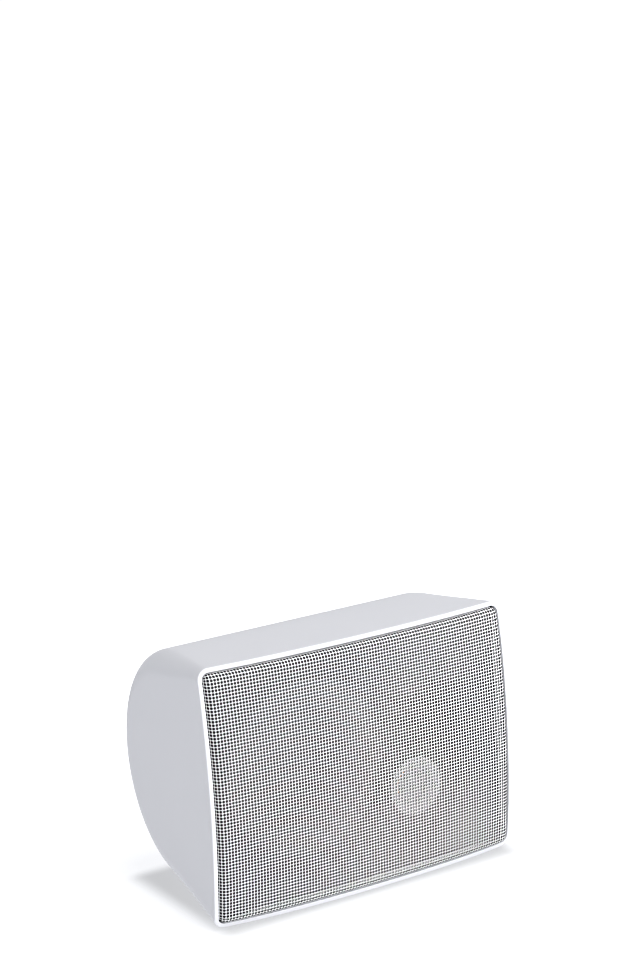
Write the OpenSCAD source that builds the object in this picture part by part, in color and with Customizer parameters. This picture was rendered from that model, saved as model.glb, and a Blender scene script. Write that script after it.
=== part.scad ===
// Two-way wall speaker: moulded D-section cabinet with a bowed, perforated front grille.
// The frame is the cabinet's own: the front faces -Y and stands upright, +X is its right
// side seen from the front, and the origin is the middle of the rear mounting pad.

/* [Cabinet] */
// Width over the front rim
front_w = 266; // [230:1:300]
// Height over the front rim
front_h = 200; // [180:1:220]
// Depth from the grille's crown to the rearmost line of the curved back
body_depth = 173; // [150:1:200]
// Wall thickness of the moulding
wall = 3; // [2.5:0.1:4]
// Draw-in of each side for each millimetre of depth
side_taper = 0.08; // [0:0.01:0.1]
// Fall of the top face towards the back, for each millimetre of depth
top_slope = 0.091; // [0.04:0.001:0.14]
// Angle at which the bottom face rises towards the back
bottom_rise = 8.8; // [4:0.1:14]
// Height of the rearmost line above the middle of the front
back_line_z = 0.8; // [-8:0.1:12]
// Radius of the rim's outer corners
rim_corner_r = 9; // [8:0.5:12]
// Radius that the long edges grow to at the back
back_edge_r = 17; // [12:1:24]
// Amount by which the rim flares out past the side panels
rim_flare = 1.2; // [0:0.1:2]
// Depth of the side flare at the top of the rim
flare_len_top = 12; // [8:1:18]
// Depth of the side flare at the bottom of the rim
flare_len_bottom = 4; // [3:1:8]

/* [Front bow] */
// Fall of the front from the middle to each side
bow_across = 4.3; // [2:0.1:6]
// Fall of the front from the middle to the top and bottom
bow_up = 3.5; // [2:0.1:5]
// Extra fall at the four corners
bow_corner = 4.5; // [2:0.1:6]
// Depth over which the bow fades out behind the rim
bow_fade = 60; // [45:1:80]

/* [Rim and grille] */
// Depth of the rim's face behind the grille's face
rim_set_back = 3.8; // [3:0.1:5]
// Width of the rim's face
rim_w = 3.5; // [3:0.1:5]
// Gap between the grille and the rim
grille_gap = 0.6; // [0.5:0.1:1.2]
// Thickness of the grille's sheet steel
grille_t = 0.8; // [0.7:0.1:1.5]
// Radius of the grille's rolled edge
grille_roll_r = 5; // [4:0.5:6]
// Extra radius of the grille's corners outside the roll
grille_corner_extra = 1.3; // [1:0.1:2.5]
// Openings across the grille
gaps_across = 13; // [9:1:13]
// Openings up the grille
gaps_up = 9; // [7:1:9]
// Share of each opening's pitch that is open
gap_share = 0.6; // [0.5:0.02:0.7]

/* [Baffle] */
// Depth of the baffle's front face
baffle_front = 19.5; // [19:0.5:23]
// Thickness of the baffle
baffle_t = 4; // [3:0.5:5]
// Play between the baffle and the cabinet
baffle_play = 0.4; // [0.3:0.1:0.8]
// Width of the ledge that carries the baffle, from the outside of the cabinet
ledge_w = 14; // [13:0.5:16]
// Distance of the baffle screws from the outside of the cabinet
screw_inset = 9; // [8.5:0.5:10]
// Length of the screw bosses behind the ledge
boss_len = 18; // [14:1:22]

/* [Woofer] */
// Distance of the woofer's centre from the left side of the front
woofer_side = 88; // [84:1:92]
// Height of the woofer's centre above the middle of the front
woofer_z = 5; // [0:1:8]
// Outer radius of the woofer's frame
woofer_flange_r = 66.5; // [65:0.5:68]
// Distance of the woofer's screws from the edge of its frame
woofer_screw_edge = 4; // [3.5:0.1:4.2]
// Width of the woofer's flange outside its cut-out in the baffle
woofer_flange_w = 7.5; // [7:0.1:8]
// Thickness of the woofer's pressed frame at the flange
flange_t = 2; // [1.5:0.1:2.5]
// Thickness of the sealing gaskets
gasket_t = 1; // [0.8:0.1:1.5]
// Width of the frame's step and the surround between the cut-out and the cone
cone_margin = 11.5; // [11:0.5:13]
// Depth of the cone from its neck to its edge
cone_depth = 20.5; // [16:0.5:24]
// Thickness of the cone's paper
cone_t = 0.8; // [0.6:0.1:1.2]
// Radius of the surround's half roll
roll_r = 3; // [2.5:0.1:3.2]
// Radius of the dust cap
dust_cap_r = 18; // [16:0.5:20]
// Height of the dust cap's dome
dust_cap_h = 6; // [4:0.5:8]
// Outer radius of the voice coil
coil_r = 13.25; // [13:0.05:13.6]
// Radial gap on each side of the voice coil
coil_gap = 0.4; // [0.3:0.05:0.5]
// Outer radius of the woofer's ferrite magnet
magnet_r = 38; // [34:1:42]
// Thickness of the woofer's ferrite magnet
magnet_t = 14; // [10:1:18]

/* [Tweeter] */
// Gap between the flanges of the two drivers
driver_gap = 3.45; // [3:0.05:4.5]
// Height of the tweeter's centre above the middle of the front
tweeter_z = -32; // [-40:1:-32]
// Outer radius of the tweeter's faceplate
tweeter_flange_r = 32; // [31:0.5:33]
// Distance of the tweeter's screws from the edge of its faceplate
tweeter_screw_edge = 3.2; // [3:0.1:3.5]
// Radius of the horn's mouth
horn_r = 24; // [22:0.5:25]
// Radius of the tweeter's dome
dome_r = 12.4; // [12:0.1:12.8]
// Height of the tweeter's dome
dome_h = 4.8; // [4:0.1:5.2]

/* [Crossover] */
// Distance of the board's edge from the right side of the front
board_side = 19; // [16:1:22]
// Height of the board's centre above the middle of the front
board_z = 42; // [38:1:48]
// Width of the board
board_w = 68; // [60:1:72]
// Height of the board
board_h = 52; // [48:1:60]
// Thickness of the board
board_t = 1.6; // [1.2:0.1:2]
// Height of the posts that carry the board
post_len = 10; // [8:1:14]

/* [Rear pad and terminals] */
// Width of the mounting pad
pad_w = 118; // [112:1:130]
// Height of the mounting pad
pad_h = 60; // [58:1:66]
// Thickness of the mounting pad
pad_t = 8; // [7:0.5:10]
// Amount by which the pad stands out past the curved back
pad_proud = 1; // [0.5:0.1:2]
// Distance between the two threaded inserts
insert_spacing = 92; // [90:1:100]
// Outer radius of the inserts
insert_r = 4; // [3.8:0.1:4.5]
// Radius of the inserts' tapped hole
insert_bore_r = 2.5; // [2.4:0.1:2.8]
// Length of the inserts
insert_len = 13; // [10:1:16]
// Width of the terminal cup's body
cup_w = 49; // [47:0.5:52]
// Height of the terminal cup's body
cup_h = 37; // [36:0.5:40]
// Depth of the terminal cup's recess
cup_depth = 20; // [18:1:24]
// Thickness of the terminal cup's flange
cup_flange_t = 2; // [1.5:0.1:2.5]
// Radius of the wire holes
wire_hole_r = 2; // [1.6:0.1:2.4]
// Distance between the two terminals
terminal_spacing = 22; // [21:0.5:23]

/* [Fits] */
// Play between parts that drop together
play = 0.3; // [0.2:0.05:0.5]
// Radial clearance of a turning pin
pin_play = 0.05; // [0.03:0.01:0.1]
// Radius of the small self-tapping screws
small_screw_r = 1.25; // [1.1:0.05:1.5]
// Radius of the large self-tapping screws
large_screw_r = 1.6; // [1.5:0.05:1.8]

/* [Hidden] */
$fn = 64;

half_w = front_w / 2;
half_h = front_h / 2;
// Depth at which the cabinet has its full width and height
edge_d = 10;
// Depth of the pad's face, where the frame has its origin
pad_face_d = body_depth + pad_proud;
top_n = sqrt(1 + top_slope * top_slope);
top_angle = atan(top_slope);
bottom_slope = tan(bottom_rise);
bottom_n = sqrt(1 + bottom_slope * bottom_slope);
// Radii of the two arcs that meet on the rearmost line, tangent to the top and bottom faces
upper_r = (half_h - back_line_z - top_slope * (body_depth - edge_d)) / (top_n - top_slope);
lower_r = (half_h + back_line_z - bottom_slope * (body_depth - edge_d))
    / (bottom_n - bottom_slope);
// Angle at which the curved back stops, short of the rearmost line
last_angle = 86;
ledge_d = baffle_front + baffle_t;
pocket_play = rim_w + baffle_play;
// Centres and radii of the drivers, and the centre of the crossover board
woofer_x = woofer_side - half_w;
woofer_screw_r = woofer_flange_r - woofer_screw_edge;
woofer_cut_r = woofer_flange_r - woofer_flange_w;
cone_r = woofer_cut_r - cone_margin;
tweeter_x = woofer_x + sqrt(pow(woofer_flange_r + tweeter_flange_r + driver_gap, 2)
    - pow(woofer_z - tweeter_z, 2));
tweeter_screw_r = tweeter_flange_r - tweeter_screw_edge;
board_x = half_w - board_side - board_w / 2;

// Moves a piece from depths and heights of the front into the frame at the pad
module placed() translate([0, -pad_face_d, -back_line_z]) children();
// Stands a turned shape on the front's axis at [x, z], its height becoming depth
module turned(x, z) translate([x, 0, z]) rotate([-90, 0, 0]) children();

function smooth(t) = let (c = min(max(t, 0), 1)) c * c * (3 - 2 * c);
// Fall of the bowed front behind its crown
function bow(x, z) = let (a = pow(x / half_w, 2), b = pow(z / half_h, 2))
    bow_across * (0.47 * a + 0.53 * a * a) + bow_up * (0.73 * b + 0.27 * b * b)
    + bow_corner * a * b;

// Upper and lower outline of the side view at a depth, with the inward normal:
// [depth, height, normal in depth, normal in height]
function upper_point(d) = let (sine = (d - body_depth + upper_r) / upper_r)
    d <= edge_d ? [d, half_h, 0, -1]
    : sine <= sin(top_angle)
    ? [d, half_h - top_slope * (d - edge_d), -top_slope / top_n, -1 / top_n]
    : let (a = asin(min(sine, 1))) [d, back_line_z + upper_r * cos(a), -sin(a), -cos(a)];
function lower_point(d) = let (sine = (d - body_depth + lower_r) / lower_r)
    d <= edge_d ? [d, -half_h, 0, 1]
    : sine <= sin(bottom_rise)
    ? [d, -half_h + bottom_slope * (d - edge_d), -bottom_slope / bottom_n, 1 / bottom_n]
    : let (a = asin(min(sine, 1))) [d, back_line_z - lower_r * cos(a), -sin(a), cos(a)];

// Half width of the cabinet at a depth and height, drawn in behind the flared rim
function side_x(d, z) = let (
        share = min(max(z / front_h + 0.5, 0), 1),
        run = flare_len_bottom + (flare_len_top - flare_len_bottom) * share,
        start = rim_set_back + bow(half_w, z))
    half_w - side_taper * max(d - edge_d, 0) - rim_flare * smooth((d - start) / run);
function edge_r(d) = rim_corner_r + (back_edge_r - rim_corner_r) * smooth(d / (0.6 * body_depth));

// Points of one ring around the cabinet, clockwise from the top left as seen from the front.
// inset shrinks it towards the inside, flat = true keeps the ring in one plane.
ring_top = 12;
ring_side = 10;
ring_corner = 5;
ring_n = 2 * ring_top + 2 * ring_side + 4 * ring_corner;
// Fall of the bow at a point of the outline, faded out behind the rim
function fall(d, x, z) = bow(x, z) * (1 - smooth((d - rim_set_back) / bow_fade));
// Point of the upper or lower long edge, sgn being 1 or -1, at angle phi round its corner
function edge_point(d, inset, r, phi, sx, sgn, flat) = let (
        in_x = inset + r * (1 - sin(phi)), reach = inset + r * (1 - cos(phi)),
        f = flat ? 0 : fall(d, half_w - in_x, half_h - reach),
        p = sgn > 0 ? upper_point(d + f) : lower_point(d + f),
        pd = p[0] + p[2] * reach, pz = p[1] + p[3] * reach)
    [sx * (side_x(pd, pz) - in_x), flat ? d : pd, pz];
// Point a share t of the way along the top or bottom, between the two corners a and b
function span_point(d, inset, a, b, t, sgn, flat) = let (
        x = mix(a[0], b[0], t), f = flat ? 0 : fall(d, x, half_h - inset),
        p = sgn > 0 ? upper_point(d + f) : lower_point(d + f))
    [x, flat ? d : p[0] + p[2] * inset, p[1] + p[3] * inset];
// Point a share t of the way along a side, between the two corners a and b
function side_point(d, inset, r, a, b, t, flat) = let (
        z = mix(a[2], b[2], t), at_ends = fall(d, half_w - inset, half_h - inset - r),
        depth = mix(a[1], b[1], t) - (flat ? 0 : at_ends - fall(d, half_w - inset, z)),
        x = side_x(depth, z) - inset)
    [a[0] < 0 ? -x : x, depth, z];
function ring(d, inset, flat = false) = let (
        r = max(edge_r(d) - inset, 1), n = ring_corner,
        tl = [for (i = [0:n]) edge_point(d, inset, r, 90 - 90 * i / n, -1, 1, flat)],
        tr = [for (i = [0:n]) edge_point(d, inset, r, 90 * i / n, 1, 1, flat)],
        br = [for (i = [0:n]) edge_point(d, inset, r, 90 - 90 * i / n, 1, -1, flat)],
        bl = [for (i = [0:n]) edge_point(d, inset, r, 90 * i / n, -1, -1, flat)])
    concat(
        tl, [for (i = [1:ring_top - 1]) span_point(d, inset, tl[n], tr[0], i / ring_top, 1, flat)],
        tr, [for (i = [1:ring_side - 1]) side_point(d, inset, r, tr[n], br[0], i / ring_side, flat)],
        br, [for (i = [1:ring_top - 1]) span_point(d, inset, br[n], bl[0], i / ring_top, -1, flat)],
        bl, [for (i = [1:ring_side - 1]) side_point(d, inset, r, bl[n], tl[0], i / ring_side, flat)]);
function mix(a, b, t) = a + (b - a) * t;

// Skins a list of rings of n points; each end is closed by strips between its halves
function skin_faces(rows, n) = [for (j = [0:rows - 2]) for (i = [0:n - 1])
        let (a = j * n + i, b = j * n + (i + 1) % n, c = a + n, e = b + n)
        each [[a, b, e], [a, e, c]]];
// The slit cap joins top points to the bottom points below them
function slit_partner(i) = let (last = ring_top + 2 * ring_corner)
    (2 * last + ring_side - i) % ring_n;
// and its two ends are fans, because the points of a side lie on one line there
function slit_faces(base, back) = let (
        last = ring_top + 2 * ring_corner, far = last + ring_side,
        tris = concat(
            [for (i = [1:last - 2]) each [[i, i + 1, slit_partner(i + 1)],
                [i, slit_partner(i + 1), slit_partner(i)]]],
            [for (k = [last:far]) [last - 1, k, k + 1]],
            [for (k = [far + last - 1:ring_n - 1]) [1, k, (k + 1) % ring_n]]))
    [for (t = tris) back ? [base + t[0], base + t[2], base + t[1]]
        : [base + t[0], base + t[1], base + t[2]]];

// Ring of the straight-walled pocket that the grille and the baffle drop into
function pocket_ring(d, inset) = [for (q = ring(rim_set_back, inset, true)) [q[0], d, q[2]]];

small_r = min(upper_r, lower_r);
back_steps = 8;
arc_start = 12;
straight_end = body_depth - small_r * (1 - sin(arc_start));
front_steps = [1.2, 3, 6, 10, 15, 22, 31, 42, 54];
last_front_step = rim_set_back + front_steps[len(front_steps) - 1];
function outer_depths() = concat(
    [for (s = front_steps) rim_set_back + s],
    [for (s = [1:2]) mix(last_front_step, straight_end, s / 2.5)],
    [for (i = [0:back_steps]) body_depth
        - small_r * (1 - sin(arc_start + (last_angle - arc_start) * i / back_steps))]);
lip_round = 0.4;
ledge_run = ledge_d + ledge_w - wall;
function inner_depths() = concat(
    [for (s = [0:2]) mix(ledge_run, straight_end, s / 2.5)],
    [for (i = [0:back_steps]) body_depth
        - small_r * (1 - sin(arc_start + (last_angle - arc_start) * i / back_steps))]);

module shell_skin() {
    outer = outer_depths();
    inner = inner_depths();
    rings = concat(
        [for (k = [len(outer) - 1:-1:0]) ring(outer[k], 0)],
        [ring(rim_set_back + lip_round, 0.3 * lip_round), ring(rim_set_back, lip_round * 2),
            ring(rim_set_back, rim_w - lip_round), ring(rim_set_back + lip_round, rim_w),
            pocket_ring(ledge_d, rim_w), ring(ledge_d, ledge_w, true)],
        [for (d = inner) ring(d, wall)]);
    polyhedron(
        points = [for (r = rings) each r],
        faces = concat(
            skin_faces(len(rings), ring_n),
            slit_faces(0, true),
            slit_faces((len(rings) - 1) * ring_n, false)),
        convexity = 8);
}

// Outline of the pocket as a drawing in width and height
function outline(inset) = [for (q = pocket_ring(0, inset)) [q[0], q[2]]];
// Stands a flat drawing up as a plate between two depths
module plate(front, back) translate([0, back, 0]) rotate([90, 0, 0])
    linear_extrude(back - front) children();
// Round bar between two depths at [x, z]
module bar(x, z, r, front, back) translate([x, front, z]) rotate([-90, 0, 0])
    cylinder(r = r, h = back - front);
module rounded_rect(w, h, r) {
    square([w - 2 * r, h], center = true);
    square([w, h - 2 * r], center = true);
    for (sx = [-1, 1]) for (sz = [-1, 1]) translate([sx * (w / 2 - r), sz * (h / 2 - r)]) circle(r);
}
// Positions of the baffle's screws as [x, z]
screw_side_x = side_x(ledge_d, 0) - screw_inset;
screw_top_z = upper_point(ledge_d)[1] - screw_inset;
screw_bottom_z = lower_point(ledge_d)[1] + screw_inset;
baffle_screw_places = [for (sx = [-1, 1]) each [
    [sx * (screw_side_x - 3), screw_top_z - 3], [sx * screw_side_x, back_line_z],
    [sx * (screw_side_x - 3), screw_bottom_z + 3]]];
head_h = 2.2;
head_overlap = 2;
baffle_screw_len = 16;
boss_r = 4.5;
cup_corner_r = 3;
cup_lip = 6.5;
cup_flange_w = cup_w + 2 * cup_lip;
cup_flange_h = cup_h + 2 * cup_lip;
cup_screw_places = [for (sx = [-1, 1]) for (sz = [-1, 1])
    [sx * (cup_flange_w / 2 - 3.5), sz * (cup_flange_h / 2 - 3.5)]];
cup_screw_len = 7;
pad_corner_r = 8;
insert_boss_r = insert_r + 4;
gasket_seat = pad_face_d - cup_flange_t - gasket_t;

// Pan-head screw driven towards the back, its head bearing at depth d
module pan_screw(x, z, d, r, len) turned(x, z) rotate_extrude() polygon([
    [0, d - head_h], [r * 1.2, d - head_h], [r + head_overlap, d - head_h * 0.4],
    [r + head_overlap, d], [r, d], [r, d + len - r], [0, d + len]]);

// The moulding is open at the back where the pad is let in
module cabinet_shell() color("#e9eaee") placed() difference() {
    union() {
        shell_skin();
        for (p = baffle_screw_places) bar(p[0], p[1], boss_r, ledge_d, ledge_d + boss_len);
    }
    for (p = baffle_screw_places) bar(p[0], p[1], large_screw_r + pin_play, ledge_d - 1,
        ledge_d + baffle_screw_len);
    translate([0, 0, back_line_z]) plate(pad_face_d - pad_t - wall - 6, pad_face_d + 1)
        rounded_rect(pad_w + 2 * play, pad_h + 2 * play, pad_corner_r + play);
}
// The pad is glued into that opening, with the bosses of the two inserts behind it
module rear_pad() color("#e9eaee") placed() difference() {
    union() {
        translate([0, 0, back_line_z]) plate(pad_face_d - pad_t, pad_face_d)
            rounded_rect(pad_w, pad_h, pad_corner_r);
        for (sx = [-1, 1]) bar(sx * insert_spacing / 2, back_line_z, insert_boss_r,
            pad_face_d - insert_len - wall, pad_face_d - 1);
    }
    for (sx = [-1, 1]) bar(sx * insert_spacing / 2, back_line_z, insert_r,
        pad_face_d - insert_len, pad_face_d + 1);
    translate([0, 0, back_line_z]) {
        plate(pad_face_d - pad_t - 1, pad_face_d + 1)
            rounded_rect(cup_w + 2 * play, cup_h + 2 * play, cup_corner_r);
        plate(gasket_seat, pad_face_d + 1)
            rounded_rect(cup_flange_w + 2 * play, cup_flange_h + 2 * play, cup_corner_r);
        for (p = cup_screw_places) bar(p[0], p[1], small_screw_r + pin_play,
            pad_face_d - pad_t - 1, pad_face_d);
    }
}

module wall_inserts() color("#b8963e") placed() for (sx = [-1, 1])
    turned(sx * insert_spacing / 2, back_line_z) rotate_extrude() polygon([
        [insert_bore_r, pad_face_d - insert_len], [insert_r, pad_face_d - insert_len],
        [insert_r, pad_face_d], [insert_bore_r, pad_face_d]]);

// The grille is a bowed sheet with square openings, flat near its corners, rolled back all
// round and trimmed to one plane where its edge stands on the baffle.
tray_side = half_w - rim_w - grille_gap;
tray_top = half_h - rim_w - grille_gap;
field_x = tray_side - grille_roll_r - grille_corner_extra;
field_z = tray_top - grille_roll_r - grille_corner_extra;
border_share = 0.3;
roll_steps = 4;
fan_steps = 4;
grille_foot = baffle_front - play;
// Breaks of one direction of the sheet: an opening starts at each odd one
function breaks(half, n) = let (edge = border_share * 2 * half / n, run = 2 * half - 2 * edge,
        pitch = run / n)
    concat([-half], [for (i = [0:n - 1]) each [
        -half + edge + pitch * (i + (1 - gap_share) / 2),
        -half + edge + pitch * (i + (1 + gap_share) / 2)]], [half]);
module grille_sheet() {
    xs = breaks(field_x, gaps_across);
    zs = breaks(field_z, gaps_up);
    nx = len(xs);
    nz = len(zs);
    n = nx * nz;
    // Boundary of the field, with its four corners repeated for the fan
    rim_ids = concat(
        [for (i = [0:nx - 2]) (nz - 1) * nx + i], [for (k = [1:fan_steps]) (nz - 1) * nx + nx - 1],
        [for (j = [0:nz - 2]) (nz - 1 - j) * nx + nx - 1], [for (k = [1:fan_steps]) nx - 1],
        [for (i = [0:nx - 2]) nx - 1 - i], [for (k = [1:fan_steps]) 0],
        [for (j = [0:nz - 2]) j * nx], [for (k = [1:fan_steps]) (nz - 1) * nx]);
    // Outward angle of each boundary point, turning by steps at the corners
    turn = concat(
        [for (i = [0:nx - 2]) 90], [for (k = [1:fan_steps]) 90 - 90 * (k - 1) / fan_steps],
        [for (j = [0:nz - 2]) 0], [for (k = [1:fan_steps]) -90 * (k - 1) / fan_steps],
        [for (i = [0:nx - 2]) -90], [for (k = [1:fan_steps]) -90 - 90 * (k - 1) / fan_steps],
        [for (j = [0:nz - 2]) 180], [for (k = [1:fan_steps]) 180 - 90 * (k - 1) / fan_steps]);
    m = len(rim_ids);
    function field(t) = [for (z = zs) for (x = xs) [x, bow(x, z) + t, z]];
    function band(reach, drop) = [for (k = [0:m - 1]) let (
            id = rim_ids[k], x = xs[id % nx] + reach * cos(turn[k]),
            z = zs[floor(id / nx)] + reach * sin(turn[k]))
        [x, drop == undef ? grille_foot : bow(x, z) + drop, z]];
    outer_bands = [for (i = [0:roll_steps]) let (a = 90 * i / roll_steps)
        each band(grille_corner_extra + grille_roll_r * sin(a), grille_roll_r * (1 - cos(a)))];
    in_r = grille_roll_r - grille_t;
    inner_bands = [for (i = [0:roll_steps]) let (a = 90 * i / roll_steps)
        each band(grille_corner_extra + in_r * sin(a), grille_roll_r - in_r * cos(a))];
    bands = roll_steps + 2;
    pts = concat(field(0), field(grille_t),
        outer_bands, band(grille_corner_extra + grille_roll_r, undef),
        inner_bands, band(grille_corner_extra + in_r, undef));
    o = 2 * n;
    v = o + bands * m;
    cells = [for (j = [0:nz - 2]) for (i = [0:nx - 2]) [i, j]];
    function open(c) = c[0] % 2 == 1 && c[1] % 2 == 1;
    function quad(a, b, c, d) = [[a, b, c], [a, c, d]];
    function joined(a, b, c, d) = a == b ? [[a, c, d]] : quad(a, b, c, d);
    faces = concat(
        [for (c = cells) let (a = c[1] * nx + c[0]) if (!open(c))
            each concat(quad(a, a + nx, a + nx + 1, a + 1),
                quad(n + a, n + a + 1, n + a + nx + 1, n + a + nx))],
        [for (c = cells) let (a = c[1] * nx + c[0], b = a + 1, e = a + nx + 1, f = a + nx)
            if (open(c)) each concat(quad(a, n + a, n + b, b), quad(b, n + b, n + e, e),
                quad(e, n + e, n + f, f), quad(f, n + f, n + a, a))],
        [for (k = [0:m - 1]) let (q = (k + 1) % m)
            each joined(rim_ids[q], rim_ids[k], o + k, o + q)],
        [for (j = [0:bands - 2]) for (k = [0:m - 1]) let (q = (k + 1) % m, a = o + j * m)
            each quad(a + q, a + k, a + m + k, a + m + q)],
        [for (k = [0:m - 1]) let (q = (k + 1) % m, a = o + (bands - 1) * m, b = v + (bands - 1) * m)
            each quad(a + q, a + k, b + k, b + q)],
        [for (j = [0:bands - 2]) for (k = [0:m - 1]) let (q = (k + 1) % m, a = v + j * m)
            each quad(a + k, a + q, a + m + q, a + m + k)],
        [for (k = [0:m - 1]) let (q = (k + 1) % m)
            each joined(n + rim_ids[k], n + rim_ids[q], v + q, v + k)]);
    polyhedron(points = pts, faces = faces, convexity = 8);
}
module grille() color("#f4f4f4") placed() grille_sheet();

// Everything behind the grille hangs on the baffle
module baffle() color("#1b1b1d") placed() difference() {
    union() {
        plate(baffle_front, ledge_d) polygon(outline(pocket_play));
        for (p = board_post_places) bar(p[0], p[1], post_r, baffle_front + 1, ledge_d + post_len);
    }
    bar(woofer_x, woofer_z, woofer_cut_r, baffle_front - 1, ledge_d + 1);
    bar(tweeter_x, tweeter_z, tweeter_body_r + play, baffle_front - 1, ledge_d + 1);
    for (p = baffle_screw_places) bar(p[0], p[1], large_screw_r + play, baffle_front - 1,
        ledge_d + 1);
    for (p = woofer_screw_places) bar(p[0], p[1], large_screw_r + pin_play, baffle_front - 1,
        ledge_d + 1);
    for (p = tweeter_screw_places) bar(p[0], p[1], small_screw_r + pin_play, baffle_front - 1,
        ledge_d + 1);
    for (p = board_post_places) bar(p[0], p[1], small_screw_r + pin_play, ledge_d + 1,
        ledge_d + post_len + 1);
}
post_r = 3;
board_post_places = [for (sx = [-1, 1]) for (sz = [-1, 1])
    [board_x + sx * (board_w / 2 - 4), board_z + sz * (board_h / 2 - 4)]];
function circle_places(x, z, r, n, first) = [for (i = [0:n - 1])
    [x + r * cos(first + 360 * i / n), z + r * sin(first + 360 * i / n)]];
woofer_screw_places = circle_places(woofer_x, woofer_z, woofer_screw_r, 4, 45);
tweeter_screw_places = circle_places(tweeter_x, tweeter_z, tweeter_screw_r, 4, 45);

module baffle_screws() color("#303034") placed() for (p = baffle_screw_places)
    pan_screw(p[0], p[1], baffle_front, large_screw_r, baffle_screw_len);

// The woofer's frame is pressed steel: a flange, a step for the surround, a windowed cone,
// a ledge for the spider and a plate that the magnet hangs on.
flange_front = baffle_front - gasket_t - flange_t;
flange_back = baffle_front - gasket_t;
basket_step_r = woofer_cut_r - 0.6;
surround_r = basket_step_r - flange_t + 0.4;
surround_ledge = flange_back + 2.5;
surround_inner_r = cone_r + 2 * roll_r - 0.5;
spider_r = 35.5;
spider_ledge = 49;
basket_plate_back = 58;
basket_plate_r = spider_r + flange_t;
gap_plate_t = 5;
woofer_windows = 6;
module woofer_gasket() color("#2a2a2c") placed() turned(woofer_x, woofer_z)
    difference() {
        rotate_extrude() translate([woofer_cut_r - 0.2, flange_back])
            square([woofer_flange_r - woofer_cut_r - 0.4, gasket_t]);
        for (a = [45:90:315]) rotate(a) translate([woofer_screw_r, 0, flange_back - 1])
            cylinder(r = large_screw_r + play, h = gasket_t + 2);
    }
module woofer_basket() color("#232325") placed() turned(woofer_x, woofer_z) difference() {
    rotate_extrude() polygon([
        [woofer_flange_r, flange_front], [woofer_flange_r, flange_back],
        [basket_step_r, flange_back], [basket_step_r, surround_ledge + 3],
        [basket_plate_r, spider_ledge - 1], [basket_plate_r, basket_plate_back],
        [coil_r + 2, basket_plate_back], [coil_r + 2, basket_plate_back - flange_t],
        [spider_r - 4, basket_plate_back - flange_t], [spider_r - 4, spider_ledge],
        [spider_r, spider_ledge], [spider_r, spider_ledge - 2.4],
        [surround_inner_r, surround_ledge + 2], [surround_inner_r, surround_ledge],
        [surround_r, surround_ledge], [surround_r, flange_front]]);
    for (i = [0:woofer_windows - 1]) rotate(360 * (i + 0.5) / woofer_windows)
        translate([(basket_plate_r + basket_step_r) / 2, 0, (surround_ledge + spider_ledge) / 2])
            cube([36, 30, spider_ledge - surround_ledge - 13], center = true);
    for (a = [45:90:315]) rotate(a) translate([woofer_screw_r, 0, flange_front - 1])
        cylinder(r = large_screw_r + play, h = flange_t + 2);
}
module woofer_screws() color("#3a3a3e") placed() for (p = woofer_screw_places)
    pan_screw(p[0], p[1], flange_front, large_screw_r, 12);

module ring_part(x, z, inner, outer, front, back) placed() turned(x, z) rotate_extrude()
    translate([inner, front]) square([outer - inner, back - front]);
gap_plate_back = basket_plate_back + gap_plate_t;
magnet_back = gap_plate_back + magnet_t;
yoke_t = 5;
pole_r = coil_r - 0.65 - coil_gap;
module woofer_top_plate() color("#8d8f94") ring_part(woofer_x, woofer_z,
    coil_r + coil_gap, magnet_r - 3, basket_plate_back, gap_plate_back);
module woofer_magnet() color("#3b3b3d") ring_part(woofer_x, woofer_z,
    coil_r + 5, magnet_r, gap_plate_back, magnet_back);
module woofer_yoke() color("#8d8f94") placed() turned(woofer_x, woofer_z) rotate_extrude()
    polygon([[4, basket_plate_back - 1], [pole_r - 1, basket_plate_back - 1],
        [pole_r, basket_plate_back], [pole_r, magnet_back], [magnet_r - 3, magnet_back],
        [magnet_r - 3, magnet_back + yoke_t - 1], [magnet_r - 4, magnet_back + yoke_t],
        [4, magnet_back + yoke_t]]);

// Strip of fibre board on the frame's side, with the two soldering tags
strip_t = 1.6;
strip_x = woofer_x + basket_plate_r + pin_play;
strip_len = 8;
tag_offset = 5;
tag_len = 4;
module woofer_terminal() color("#7a5a34") placed() {
    translate([strip_x, spider_ledge, woofer_z - 8]) cube([strip_t, strip_len, 16]);
    for (sz = [-1, 1]) translate([strip_x + 0.4, spider_ledge + strip_len,
            woofer_z + sz * tag_offset - 1.5])
        cube([0.8, tag_len, 3]);
}

// The moving parts of the woofer
neck_r = coil_r - 0.35;
cone_front = surround_ledge + 0.15;
neck_d = cone_front + cone_depth;
cone_steps = 12;
// Depth of the flared cone's front surface at a radius
function cone_d(r) = neck_d - cone_depth * pow((r - neck_r) / (cone_r - neck_r), 0.82);
module woofer_cone() color("#2b2b2e") placed() turned(woofer_x, woofer_z) rotate_extrude()
    polygon(concat(
        [for (i = [0:cone_steps]) let (r = mix(neck_r, cone_r, i / cone_steps)) [r, cone_d(r)]],
        [for (i = [cone_steps:-1:0]) let (r = mix(neck_r, cone_r, i / cone_steps))
            [r, cone_d(r) + cone_t]]));
// Section of a thin dome between two spheres about one centre, its rim at depth d
module dome_section(radius, height, t, d) {
    arc = (radius * radius + height * height) / (2 * height);
    half = asin(radius / arc);
    steps = 10;
    polygon(concat(
        [for (i = [0:steps]) let (a = half * i / steps)
            [arc * sin(a), d - height + arc * (1 - cos(a))]],
        [for (i = [steps:-1:0]) let (a = half * i / steps)
            [(arc - t) * sin(a), d - height + arc - (arc - t) * cos(a)]]));
}
module woofer_dust_cap() color("#2b2b2e") placed() turned(woofer_x, woofer_z) rotate_extrude()
    dome_section(dust_cap_r, dust_cap_h, cone_t, cone_d(dust_cap_r) - 0.45);
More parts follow.
